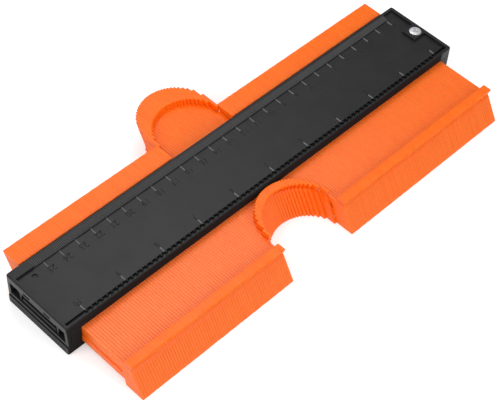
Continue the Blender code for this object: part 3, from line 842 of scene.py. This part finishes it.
def prism_along_x(name, outline, left, right):
    """A flat outline in Y and Z, extruded along X."""
    shape = bmesh.new()
    ends = [[shape.verts.new((x, y, z)) for y, z in outline] for x in (left, right)]
    for index in range(len(outline)):
        beside = (index + 1) % len(outline)
        shape.faces.new((ends[0][index], ends[0][beside], ends[1][beside], ends[1][index]))
    shape.faces.new(ends[0])
    shape.faces.new(ends[1])
    bmesh.ops.recalc_face_normals(shape, faces=shape.faces)
    return shape_piece(name, shape)


def band_foot():
    """The slope from the band's inner edge down to the floor."""
    edge_z = BODY_HIGH.z - BAND_DROP - EDGE_BELOW_BAND
    return prism_along_x("band_foot", [
        (BAND_INNER + PAST_WALL, edge_z),
        (BAND_INNER, edge_z),
        (BAND_INNER - FOOT_REACH, FLOOR_Z),
        (BAND_INNER - FOOT_REACH, FLOOR_Z - PAST_WALL),
        (BAND_INNER + PAST_WALL, FLOOR_Z - PAST_WALL),
    ], BODY_LOW.x + BAND_FROM_LEFT, BODY_HIGH.x - BAND_FROM_RIGHT)


join_on(ruler_cover, band_foot())
print("after the band's foot:", odd_edges(ruler_cover), "odd edges")
cm_marks = long_marks(
    "centimetre_marks", CM_COUNT, ZERO_CM_X, CENTIMETRE, BAND_INNER - CM_MARK_LENGTH, BAND_INNER + PAST_WALL)
inch_marks = long_marks(
    "inch_marks", INCH_COUNT, ZERO_INCH_X, INCH, GROOVE_FAR - PAST_WALL, GROOVE_FAR + INCH_MARK_LENGTH)
carve(ruler_cover, millimetre_ticks(), cm_marks, inch_marks)
print("after the marks:", len(ruler_cover.data.polygons), "faces,", odd_edges(ruler_cover), "odd edges")

# %% [markdown]
# ## Eighths of an inch
#
# Along the near rim runs a deep groove. The rim's inner side is shaved a little first, which widens the
# groove. Eight notches to the inch are cut into the rim's inner edge, and across from each notch a small
# bar stands in the groove, a little lower than the ruler's floor. The notches are one more row of blocks
# that cut, and the bars are a row that is joined on. Each bar starts inside the groove's far wall and
# bottom.

# %% Ruler: notches in the near rim and bars in the groove
EIGHTHS_PER_INCH = 8
EIGHTH = INCH / EIGHTHS_PER_INCH
EIGHTHS_COUNT = (INCH_COUNT - 1) * EIGHTHS_PER_INCH
FIRST_EIGHTH_FROM_ZERO = 0.00238
FIRST_EIGHTH_X = ZERO_INCH_X - FIRST_EIGHTH_FROM_ZERO
RIM_SHAVED = 0.00045
RIM_EDGE_Y = GROOVE_NEAR - RIM_SHAVED
GROOVE_FROM_END = 0.0062
NOTCH_WIDTH = 0.0013
NOTCH_INTO_RIM = 0.00045
NOTCH_DEPTH = 0.0014
GROOVE_BAR_WIDTH = 0.0008
GROOVE_BAR_LENGTH = 0.0013
BAR_BELOW_FLOOR = 0.00015


def rim_shaving():
    """Takes a little off the rim's inner side, all along the groove."""
    return slab(
        "rim_shaving", (BODY_LOW.x + GROOVE_FROM_END, RIM_EDGE_Y, FLOOR_Z - NEAR_GROOVE_DEPTH / 2),
        (BODY_HIGH.x - GROOVE_FROM_END, GROOVE_NEAR + PAST_WALL, BODY_HIGH.z + PAST_WALL))


def rim_notches():
    return block_line(
        "rim_notches", EIGHTHS_COUNT, (FIRST_EIGHTH_X, RIM_EDGE_Y, BODY_HIGH.z), (-EIGHTH, 0.0, 0.0),
        (NOTCH_WIDTH, 2 * NOTCH_INTO_RIM, 2 * NOTCH_DEPTH))


def groove_bars():
    low_z = FLOOR_Z - NEAR_GROOVE_DEPTH - PAST_WALL
    high_z = FLOOR_Z - BAR_BELOW_FLOOR
    middle_y = GROOVE_FAR + (PAST_WALL - GROOVE_BAR_LENGTH) / 2
    return block_line(
        "groove_bars", EIGHTHS_COUNT, (FIRST_EIGHTH_X, middle_y, (low_z + high_z) / 2), (-EIGHTH, 0.0, 0.0),
        (GROOVE_BAR_WIDTH, GROOVE_BAR_LENGTH + PAST_WALL, high_z - low_z))


carve(ruler_cover, rim_shaving(), rim_notches())
join_on(ruler_cover, groove_bars())
print("after the eighths:", len(ruler_cover.data.polygons), "faces,", odd_edges(ruler_cover), "odd edges")

# %% [markdown]
# ## Ejector marks
#
# The pins that push a moulding out of its mould leave faint rings. Two of them show on the floor near the
# screw. A bump in the material could fake them, but a real groove stays right from every side, so a flat
# ring cuts each of them a tenth of a millimetre deep.

# %% Upper cover: ejector marks
EJECTOR_MARKS = (
    {"from_end": 0.0067, "y": 0.013, "radius": 0.002},
    {"from_end": 0.0065, "y": -0.015, "radius": 0.0025},
)
EJECTOR_LINE = 0.0003
EJECTOR_DEPTH = 0.0001
ROUND_STEPS = 40


def ring(name, centre, radius, width, low_z, high_z):
    """A flat ring with a square section."""
    shape = bmesh.new()
    loops = []
    for distance, z in ((radius, low_z), (radius + width, low_z), (radius + width, high_z), (radius, high_z)):
        angles = [2 * math.pi * step / ROUND_STEPS for step in range(ROUND_STEPS)]
        loops.append([shape.verts.new((
            centre[0] + distance * math.cos(angle), centre[1] + distance * math.sin(angle), z))
            for angle in angles])
    for loop, following in zip(loops, loops[1:] + loops[:1]):
        for index in range(ROUND_STEPS):
            beside = (index + 1) % ROUND_STEPS
            shape.faces.new((loop[index], following[index], following[beside], loop[beside]))
    bmesh.ops.recalc_face_normals(shape, faces=shape.faces)
    return shape_piece(name, shape)


def ejector_mark(from_end, y, radius):
    return ring(
        "ejector_mark", (BODY_HIGH.x - from_end, y), radius - EJECTOR_LINE, EJECTOR_LINE,
        FLOOR_Z - EJECTOR_DEPTH, FLOOR_Z + EJECTOR_DEPTH)


carve(ruler_cover, *[ejector_mark(**place) for place in EJECTOR_MARKS])
print("after the ejector marks:", odd_edges(ruler_cover), "odd edges")

# %% [markdown]
# ## The ruler's numbers
#
# The numbers are plain digits, engraved as the marks are. A text object gives their outlines. It is
# extruded and made a mesh, and its flat ends are taken off and filled again, so that they carry no stray
# edges. Each number is scaled to the measured height and turned half round, because it is read from the far
# side. All numbers of a row are cut at once, and because the outline of the 4 crosses itself, that Boolean
# is told to expect it. Two odd edges stay there, where four faces meet, and the cover is closed all the
# same.

# %% Ruler: engraved digits
CM_DIGIT_HEIGHT = 0.0036
INCH_DIGIT_HEIGHT = 0.0032
CM_DIGIT_Y = 0.0106
CM_DIGIT_ASIDE = 0.0009
INCH_DIGIT_Y = -0.0128
DIGIT_DEPTH = 0.00025
DIGIT_BOLDNESS = 0.008
DIGIT_CURVE_STEPS = 3
DIGIT_MERGE = 0.0005
LEVEL_ENOUGH = 0.5


def close_caps(mesh):
    """Merges the walls of extruded digits and fills their two flat ends again, without stray edges."""
    shape = bmesh.new()
    shape.from_mesh(mesh)
    bmesh.ops.remove_doubles(shape, verts=shape.verts, dist=DIGIT_MERGE)
    caps = [face for face in shape.faces if abs(face.normal.z) > LEVEL_ENOUGH]
    bmesh.ops.delete(shape, geom=caps, context="FACES_KEEP_BOUNDARY")
    for upper in (False, True):
        rim = [edge for edge in shape.edges
               if edge.is_boundary and all((vert.co.z > 0) == upper for vert in edge.verts)]
        bmesh.ops.triangle_fill(shape, use_beauty=True, edges=rim)
    shape.to_mesh(mesh)
    shape.free()


def digit_mesh(text, height):
    """One number as closed prisms around the origin, height metres tall."""
    curve = bpy.data.curves.new("number", "FONT")
    curve.body = text
    curve.align_x = "CENTER"
    curve.extrude = 1.0
    curve.offset = DIGIT_BOLDNESS
    curve.resolution_u = DIGIT_CURVE_STEPS
    drawn = show("number", curve)
    mesh = flattened(drawn, "number")
    remove(drawn)
    close_caps(mesh)
    low = Vector([min(vert.co[axis] for vert in mesh.vertices) for axis in range(3)])
    high = Vector([max(vert.co[axis] for vert in mesh.vertices) for axis in range(3)])
    scale = height / (high.y - low.y)
    middle = (low + high) / 2
    mesh.transform(
        Matrix.Rotation(math.pi, 4, "Z")
        @ Matrix.Diagonal((scale, scale, DIGIT_DEPTH, 1))
        @ Matrix.Translation(-middle))
    return mesh


def engraving(name, numbers, zero_x, step, y, height):
    """All numbers of one scale as one cutter."""
    shape = bmesh.new()
    for number in range(numbers):
        mesh = digit_mesh(str(number), height)
        mesh.transform(Matrix.Translation((zero_x - number * step, y, FLOOR_Z)))
        shape.from_mesh(mesh)
    bmesh.ops.recalc_face_normals(shape, faces=shape.faces)
    made = shape_piece(name, shape)
    set_finish(made, black_cover)
    return made


carve(
    ruler_cover,
    engraving(
        "centimetre_numbers", CM_COUNT, ZERO_CM_X + CM_DIGIT_ASIDE, CENTIMETRE, CM_DIGIT_Y, CM_DIGIT_HEIGHT),
    engraving("inch_numbers", INCH_COUNT, ZERO_INCH_X, INCH, INCH_DIGIT_Y, INCH_DIGIT_HEIGHT),
    crossing=True)
print("after the numbers:", len(ruler_cover.data.polygons), "faces,", odd_edges(ruler_cover), "odd edges")

# %% [markdown]
# Each V-shaped mark has one wall that faces the left end and catches the light, and that wall also gets a
# painted highlight, a greyer material. A material slot for every such wall would be slow to set by hand, so
# the walls are found by their slope and their small area. The long marks get one painted grey and the fine
# ticks on the band a darker one.

# %% Ruler: finish
LIT_SIDE = Vector((-1.0, 0.0, 1.0)).normalized()
LIT_MATCH = 0.97
LIT_FROM_X = BODY_LOW.x + BAND_FROM_LEFT / 2
LIT_LARGEST = 2 * MARK_SIDE * BAND_WIDTH
MARK_HIGHLIGHT_SLOT = 1
TICK_HIGHLIGHT_SLOT = 2


def paint_lit_walls(piece):
    """Paints a highlight: a greyer material on every face that looks towards the left end at 45 degrees."""
    painted = 0
    for face in piece.data.polygons:
        inside = face.center.x > LIT_FROM_X and face.center.z < BODY_HIGH.z
        if inside and face.area < LIT_LARGEST and face.normal.dot(LIT_SIDE) > LIT_MATCH:
            face.material_index = TICK_HIGHLIGHT_SLOT if face.center.y > BAND_INNER else MARK_HIGHLIGHT_SLOT
            painted += 1
    return painted


set_finish(ruler_cover, black_cover)
ruler_cover.data.materials.append(mark_highlight_finish)
ruler_cover.data.materials.append(tick_highlight_finish)
print("lit walls:", paint_lit_walls(ruler_cover))
shade(ruler_cover, COVER_SMOOTH_ANGLE)

# %% [markdown]
# ## The lower cover
#
# The lower cover is the tray under the leaves. Only its end blocks and its lip show. The lip at the left
# end carries fine upright grooves, cut with the same row of blocks, this time along the width.

# %% Lower cover: rounded edges and grooves
BASE_LOW, BASE_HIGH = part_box("lower_cover")
LIP_GROOVE_STEP = 0.0006
LIP_GROOVE_WIDTH = 0.00026
LIP_GROOVE_DEPTH = 0.00016
LIP_MARGIN = 0.0024
LIP_GROOVE_LOW_Z = 0.0009
LIP_GROOVE_HIGH_Z = 0.0041


def lip_grooves():
    length = BASE_HIGH.y - BASE_LOW.y - 2 * LIP_MARGIN
    count = int(length / LIP_GROOVE_STEP) + 1
    first_y = -(count - 1) / 2 * LIP_GROOVE_STEP
    middle_z = (LIP_GROOVE_LOW_Z + LIP_GROOVE_HIGH_Z) / 2
    return block_line(
        "lip_grooves", count, (BASE_LOW.x, first_y, middle_z), (0.0, LIP_GROOVE_STEP, 0.0),
        (2 * LIP_GROOVE_DEPTH, LIP_GROOVE_WIDTH, LIP_GROOVE_HIGH_Z - LIP_GROOVE_LOW_Z))


base_cover = merged_copy("lower_cover", "base_cover")
round_edges(base_cover, COVER_EDGE, COVER_EDGE_ANGLE)
carve(base_cover, lip_grooves())
set_finish(base_cover, black_base)
print("base cover:", len(base_cover.data.polygons), "faces,", odd_edges(base_cover), "odd edges")
shade(base_cover, COVER_SMOOTH_ANGLE)

# %% [markdown]
# ## One leaf
#
# A leaf is a flat plate with a bar standing up near one end, a bar hanging down near the other, and from
# each bar a slanting face out to a thin tip. Half a turn brings it back onto itself, so the outline could
# be traced all round, but it is written once for one end and turned for the other. The bars and tips have
# rounded corners.

# %% Leaf: outline
LEAF_PITCH = 0.00155
LEAF_THICKNESS = 0.00151
LEAF_PLATE = 0.011
BAR_REACH = 0.0372
BAR_WIDTH = 0.0053
HEAD_HALF = 0.00935
NECK_INSET = 0.0014
NECK_DROP = 0.0043
SHOULDER_OUT = 0.0009
SHOULDER_DROP = 0.001
TIP_OUT = 0.0127
HEEL_OUT = 0.0008
BAR_ROUND = 0.0007
TIP_ROUND = 0.00035


def corner_arc(before, corner, after, radius, steps=2):
    """Points that round one corner of an outline by about the given radius."""
    start = corner + (before - corner).normalized() * radius
    end = corner + (after - corner).normalized() * radius
    arc = []
    for step in range(steps + 1):
        share = step / steps
        arc.append(start.lerp(corner, share).lerp(corner.lerp(end, share), share))
    return arc


def leaf_end():
    """Half of the outline, from under the plate round one end to its top, as (y, z, corner radius)."""
    bar_top = BAR_REACH + BAR_WIDTH
    neck = bar_top - NECK_INSET
    return [
        (BAR_REACH, LEAF_PLATE / 2, 0),
        (BAR_REACH, HEAD_HALF, BAR_ROUND / 2),
        (bar_top, HEAD_HALF, BAR_ROUND),
        (neck, HEAD_HALF - NECK_DROP, 0),
        (neck + SHOULDER_OUT, HEAD_HALF - NECK_DROP - SHOULDER_DROP, 0),
        (BAR_REACH + TIP_OUT, -HEAD_HALF, TIP_ROUND),
        (BAR_REACH + HEEL_OUT, -HEAD_HALF, TIP_ROUND),
        (BAR_REACH, -LEAF_PLATE / 2, 0),
    ]


def leaf_outline():
    near = [(Vector((-y, z)), radius) for y, z, radius in leaf_end()]
    far = [(Vector((y, -z)), radius) for y, z, radius in leaf_end()]
    corners = near + far
    points = []
    for index, (corner, radius) in enumerate(corners):
        if radius:
            before = corners[index - 1][0]
            after = corners[(index + 1) % len(corners)][0]
            points += corner_arc(before, corner, after, radius)
        else:
            points.append(corner)
    return points


print("leaf outline:", len(leaf_outline()), "points")

# %% [markdown]
# The solid leaf is a loft through four copies of that outline: the two outer ones are drawn in by the
# chamfer. Both faces are then hollowed: a deep channel on one side, and on the other a shallow relief along
# the plate and one on each tip. That is why a fine dark line shows between plates but hardly between bars.

# %% Leaf: solid
LEAF_CHAMFER = 0.00007
CHANNEL_DEPTH = 0.0005
CHANNEL_HALF_HEIGHT = 0.0017
CHANNEL_END_WALL = 0.0016
PLATE_RELIEF = 0.00014
RELIEF_END_WALL = 0.0004
TIP_RELIEF = 0.00009
TIP_RELIEF_FROM = 0.0426
TIP_RELIEF_TO = 0.051
TIP_RELIEF_LOW = -0.0089
TIP_RELIEF_HIGH = 0.0055
PAST_FACE = 0.002
LEAF_SMOOTH_ANGLE = 30


def drawn_in(outline, distance):
    """The outline moved inwards by one distance all round."""
    moved = []
    for index, point in enumerate(outline):
        first = (point - outline[index - 1]).normalized()
        second = (outline[(index + 1) % len(outline)] - point).normalized()
        inward = Vector((-first.y - second.y, first.x + second.x))
        moved.append(point + inward * (distance / (1 + first.dot(second))))
    return moved


def loft(name, sections):
    """A closed solid through outlines in Y and Z, each given with its place along X."""
    shape = bmesh.new()
    loops = [[shape.verts.new((x, point.x, point.y)) for point in outline] for x, outline in sections]
    for loop, following in zip(loops, loops[1:]):
        for index in range(len(loop)):
            beside = (index + 1) % len(loop)
            shape.faces.new((loop[index], loop[beside], following[beside], following[index]))
    shape.faces.new(list(reversed(loops[0])))
    shape.faces.new(loops[-1])
    return shape_piece(name, shape)


def one_leaf():
    """The leaf with its chamfers, its channel and its reliefs."""
    outline = leaf_outline()
    narrow = drawn_in(outline, LEAF_CHAMFER)
    leaf = loft("one_leaf", [
        (0, narrow), (LEAF_CHAMFER, outline), (LEAF_THICKNESS - LEAF_CHAMFER, outline),
        (LEAF_THICKNESS, narrow)])
    channel_end = BAR_REACH - CHANNEL_END_WALL
    relief_end = BAR_REACH - RELIEF_END_WALL
    channel = slab(
        "leaf_channel", (-PAST_FACE, -channel_end, -CHANNEL_HALF_HEIGHT),
        (CHANNEL_DEPTH, channel_end, CHANNEL_HALF_HEIGHT))
    relief = slab(
        "plate_relief", (LEAF_THICKNESS - PLATE_RELIEF, -relief_end, -LEAF_PLATE),
        (LEAF_THICKNESS + PAST_FACE, relief_end, LEAF_PLATE))
    near_tip = slab(
        "tip_relief", (LEAF_THICKNESS - TIP_RELIEF, -TIP_RELIEF_TO, TIP_RELIEF_LOW),
        (LEAF_THICKNESS + PAST_FACE, -TIP_RELIEF_FROM, TIP_RELIEF_HIGH))
    far_tip = slab(
        "tip_relief", (LEAF_THICKNESS - TIP_RELIEF, TIP_RELIEF_FROM, -TIP_RELIEF_HIGH),
        (LEAF_THICKNESS + PAST_FACE, TIP_RELIEF_TO, -TIP_RELIEF_LOW))
    carve(leaf, channel, relief, near_tip, far_tip)
    shade(leaf, LEAF_SMOOTH_ANGLE)
    return leaf


leaf = one_leaf()
leaf.hide_render = True
print("one leaf:", len(leaf.data.polygons), "faces")

# %% [markdown]
# ## Rows of leaves
#
# The tree below lays copies of the leaf along the body, one pitch apart. A Random Value pushes each leaf a
# few hundredths of a millimetre along its slide, as friction leaves them, and a second one is stored as an
# attribute that the material reads. Both have a fixed seed, so the row is the same every time.

# %% Geometry Nodes: a row of leaves
LEAF_ROW_INPUTS = [
    ("Geometry", "NodeSocketGeometry", None),
    ("Count", "NodeSocketInt", 1),
    ("First", "NodeSocketVector", (0.0, 0.0, 0.0)),
    ("Pitch", "NodeSocketFloat", LEAF_PITCH),
    ("Play", "NodeSocketFloat", 0.0),
    ("Seed", "NodeSocketInt", 0),
    ("Material", "NodeSocketMaterial", None),
]
TONE_SEED_SHIFT = 1000.0


def leaf_row_tree():
    tree, given, result = new_group("leaf_row", "GeometryNodeTree", LEAF_ROW_INPUTS, GEOMETRY_OUT)
    step = add_node(tree, "ShaderNodeCombineXYZ", {"X": given["Pitch"]})
    line = add_node(tree, "GeometryNodeMeshLine", {
        "Count": given["Count"], "Start Location": given["First"], "Offset": step.outputs["Vector"]},
        mode="OFFSET")
    backwards = add_node(tree, "ShaderNodeMath", {0: given["Play"], 1: -1.0}, operation="MULTIPLY")
    play = add_node(tree, "FunctionNodeRandomValue", data_type="FLOAT")
    tree.links.new(backwards.outputs[0], play.inputs["Min"])
    tree.links.new(given["Play"], play.inputs["Max"])
    tree.links.new(given["Seed"], play.inputs["Seed"])
    push = add_node(tree, "ShaderNodeCombineXYZ", {"Y": play.outputs["Value"]})
    moved = add_node(tree, "GeometryNodeSetPosition", {
        "Geometry": line.outputs["Mesh"], "Offset": push.outputs["Vector"]})
    placed = add_node(tree, "GeometryNodeInstanceOnPoints", {
        "Points": moved.outputs["Geometry"], "Instance": given["Geometry"]})
    tone = add_node(tree, "FunctionNodeRandomValue", data_type="FLOAT")
    other_seed = add_node(tree, "ShaderNodeMath", {0: given["Seed"], 1: TONE_SEED_SHIFT})
    tree.links.new(other_seed.outputs[0], tone.inputs["Seed"])
    stored = add_node(tree, "GeometryNodeStoreNamedAttribute", {
        "Geometry": placed.outputs["Instances"], "Name": LEAF_TONE}, data_type="FLOAT", domain="INSTANCE")
    tree.links.new(tone.outputs["Value"], stored.inputs["Value"])
    real = add_node(tree, "GeometryNodeRealizeInstances", {"Geometry": stored.outputs["Geometry"]})
    painted = add_node(tree, "GeometryNodeSetMaterial", {
        "Geometry": real.outputs["Geometry"], "Material": given["Material"]})
    tree.links.new(painted.outputs["Geometry"], result["Geometry"])
    return tree


leaf_row = leaf_row_tree()
print("tree:", leaf_row.name)

# %% [markdown]
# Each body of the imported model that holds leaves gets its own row, placed by that body's own box. The count
# follows from the box's length.

# %% Leaves of every body
LEAF_PLAY = 0.00006


def leaves_for(body, seed):
    """Dresses one body with its own row of leaves and returns how many it has."""
    low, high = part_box(body)
    count = round((high.x - low.x) / LEAF_PITCH)
    middle = (low + high) / 2
    piece = grown("orange_" + body, leaf_row, {
        "Count": count, "First": (low.x, middle.y, middle.z), "Pitch": LEAF_PITCH, "Play": LEAF_PLAY,
        "Seed": seed, "Material": orange_leaf}, leaf.data)
    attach(piece, body)
    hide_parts(body)
    return count


leaf_bodies = sorted(name for name in frame["bodies"] if name.startswith(("leaf_", "leaves_")))
leaf_total = sum(leaves_for(body, seed) for seed, body in enumerate(leaf_bodies))
remove(leaf)

# %% [markdown]
# ## The tension screw
#
# The screw's head is turned, so it is a profile spun round with a Screw modifier. A crown of a few short
# steps rounds the top. The cross recess is cut with two wedges that narrow downwards, as the driver's tip
# does.

# %% Tension screw
HEAD_RADIUS = 0.0035
HEAD_HEIGHT = 0.0017
HEAD_CROWN = 0.0005
SHANK_RADIUS = 0.0015
SHANK_CHAMFER = 0.0004
HEAD_EDGE = 0.00015
TURN_STEPS = 48
CROWN_STEPS = 8
CROSS_LENGTH = 0.0032516
CROSS_WIDTH = 0.0008
CROSS_DEPTH = 0.0009
LENGTH_TAPER = 0.55
WIDTH_TAPER = 0.3
SCREW_SMOOTH_ANGLE = 30


def screw_profile():
    """(radius, z) from the middle of the crown down its outer side to the end of the shank."""
    top = SCREW_HIGH.z
    under = top - HEAD_HEIGHT
    crown = []
    for step in range(CROWN_STEPS + 1):
        angle = step / CROWN_STEPS * math.pi / 2
        crown.append((HEAD_RADIUS * math.sin(angle), top - HEAD_CROWN * (1 - math.cos(angle))))
    return crown + [
        (HEAD_RADIUS, under + HEAD_EDGE),
        (HEAD_RADIUS - HEAD_EDGE, under),
        (SHANK_RADIUS, under),
        (SHANK_RADIUS, SCREW_LOW.z + SHANK_CHAMFER),
        (SHANK_RADIUS - SHANK_CHAMFER, SCREW_LOW.z),
        (0, SCREW_LOW.z),
    ]


def turned(name, profile):
    """The profile spun once round the upright axis through the origin."""
    shape = bmesh.new()
    verts = [shape.verts.new((radius, 0, z)) for radius, z in profile]
    for upper, lower in zip(verts, verts[1:]):
        shape.edges.new((upper, lower))
    made = shape_piece(name, shape)
    spin = made.modifiers.new("turn", "SCREW")
    spin.steps = TURN_STEPS
    spin.render_steps = TURN_STEPS
    spin.use_merge_vertices = True
    spin.merge_threshold = MERGE_DISTANCE
    work_in(made)
    return made


def wedge(name, length, width, depth):
    """A slot cutter that has this length and width at half its height and narrows downwards."""
    made = slab(name, (-length / 2, -width / 2, -depth), (length / 2, width / 2, depth))
    for vert in made.data.vertices:
        side = 1 if vert.co.z > 0 else -1
        vert.co.x *= 1 + side * LENGTH_TAPER
        vert.co.y *= 1 + side * WIDTH_TAPER
    return made


def add_screw():
    """The turned screw with the cross cut into its crown."""
    screw = turned("cross_screw", screw_profile())
    cutters = []
    for turn in (0, math.pi / 2):
        cutter = wedge("cross_slot", CROSS_LENGTH, CROSS_WIDTH, CROSS_DEPTH)
        cutter.data.transform(Matrix.Rotation(turn, 4, "Z"))
        cutter.data.transform(Matrix.Translation((0, 0, SCREW_HIGH.z)))
        cutters.append(cutter)
    carve(screw, *cutters)
    screw.data.transform(Matrix.Translation((SCREW_X, SCREW_Y, 0)))
    set_finish(screw, screw_steel)
    shade(screw, SCREW_SMOOTH_ANGLE)
    return screw


cross_screw = add_screw()
print("screw:", len(cross_screw.data.polygons), "faces")

# %% [markdown]
# ## Bodies, replaced nodes and finishes
#
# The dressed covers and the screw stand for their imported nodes. The nut and the friction strips keep their
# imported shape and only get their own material.

# %% Ride and replace
for piece, body, node, slot in (
        (ruler_cover, "gauge_body", "upper_cover", "black_cover"),
        (base_cover, "gauge_body", "lower_cover", "black_cover"),
        (cross_screw, "tension_screw", "tension_screw", "steel_fixing")):
    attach(piece, body)
    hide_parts(node)

for node, material in (
        ("captive_nut", nut_steel),
        ("upper_friction_strip", strip_rubber),
        ("lower_friction_strip", strip_rubber)):
    set_finish(frame["nodes"][node], material)

# %% [markdown]
# ## The white table
#
# The gauge lies on a white table with a soft shadow. A plain white surface would look grey in this light,
# and a surface that shines by itself would wash the shadow out. So the table keeps its own lit colour, and
# only rays from the camera and from mirroring faces see a little added glow, which lifts the lit part to
# white.

# %% Table
TABLE_SIZE = 6.0
TABLE_GLOW = 0.36
TABLE_GREY = (0.8, 0.8, 0.8, 1)
TABLE_ROUGHNESS = 0.9
TABLE_SPECULAR = 0.1
WHITE = (1, 1, 1, 1)


def add_table():
    shape = bmesh.new()
    bmesh.ops.create_grid(shape, x_segments=1, y_segments=1, size=TABLE_SIZE / 2)
    table = shape_piece("white_table", shape)
    material, tree, shader = new_material("white_table_top")
    paths = add_node(tree, "ShaderNodeLightPath")
    seen = add_node(tree, "ShaderNodeMath", {
        0: paths.outputs["Is Camera Ray"], 1: paths.outputs["Is Glossy Ray"]}, operation="MAXIMUM")
    seen = add_node(tree, "ShaderNodeMath", {
        0: seen.outputs[0], 1: paths.outputs["Is Transmission Ray"]}, operation="MAXIMUM")
    glow = add_node(tree, "ShaderNodeMath", {0: seen.outputs[0], 1: TABLE_GLOW}, operation="MULTIPLY")
    shader.inputs["Base Color"].default_value = TABLE_GREY
    shader.inputs["Roughness"].default_value = TABLE_ROUGHNESS
    shader.inputs["Specular IOR Level"].default_value = TABLE_SPECULAR
    shader.inputs["Emission Color"].default_value = WHITE
    tree.links.new(glow.outputs[0], shader.inputs["Emission Strength"])
    set_finish(table, material)
    return table


white_table = add_table()
print("table:", white_table.name, TABLE_SIZE, "m wide")

# %% [markdown]
# ## Lights and surroundings
#
# Three square area lights make the soft daylight. One stands to the left, one fills the front, and the
# third hangs high behind the object, where the left half of the covers mirrors it and the right half
# doesn't. The surroundings are a dim white for everything but the camera, which sees them as plain white.

# %% Lights and surroundings
SURROUND = 0.42
LEFT_LIGHT = {"place": (-0.75, 0.1, 0.75), "size": 0.7, "power": 5.1}
FRONT_LIGHT = {"place": (0.0, -1.0, 0.6), "size": 0.7, "power": 6.0}
BACK_LIGHT = {"place": (0.3, 0.42, 0.93), "size": 0.48, "power": 3.0}


def add_light(name, place, size, power):
    """A square area light that points at the middle of the object."""
    lamp = bpy.data.lights.new(name, "AREA")
    lamp.size = size
    lamp.energy = power
    made = bpy.data.objects.new(name, lamp)
    made.location = place
    made.rotation_euler = (-Vector(place)).to_track_quat("-Z", "Y").to_euler()
    SCENE.collection.objects.link(made)


def add_surroundings():
    """An even white world that lights the object at one strength and shows to the camera at full white."""
    world = bpy.data.worlds.new("studio")
    SCENE.world = world
    world.use_nodes = True
    tree = world.node_tree
    paths = add_node(tree, "ShaderNodeLightPath")
    strength = add_node(tree, "ShaderNodeMapRange", {
        "Value": paths.outputs["Is Camera Ray"], "To Min": SURROUND, "To Max": 1.0})
    back = tree.nodes["Background"]
    back.inputs["Color"].default_value = WHITE
    tree.links.new(strength.outputs["Result"], back.inputs["Strength"])


add_light("left_softbox", **LEFT_LIGHT)
add_light("front_softbox", **FRONT_LIGHT)
add_light("back_softbox", **BACK_LIGHT)
add_surroundings()
SCENE.view_settings.view_transform = "Standard"
print("lights: 3, surroundings:", SURROUND)
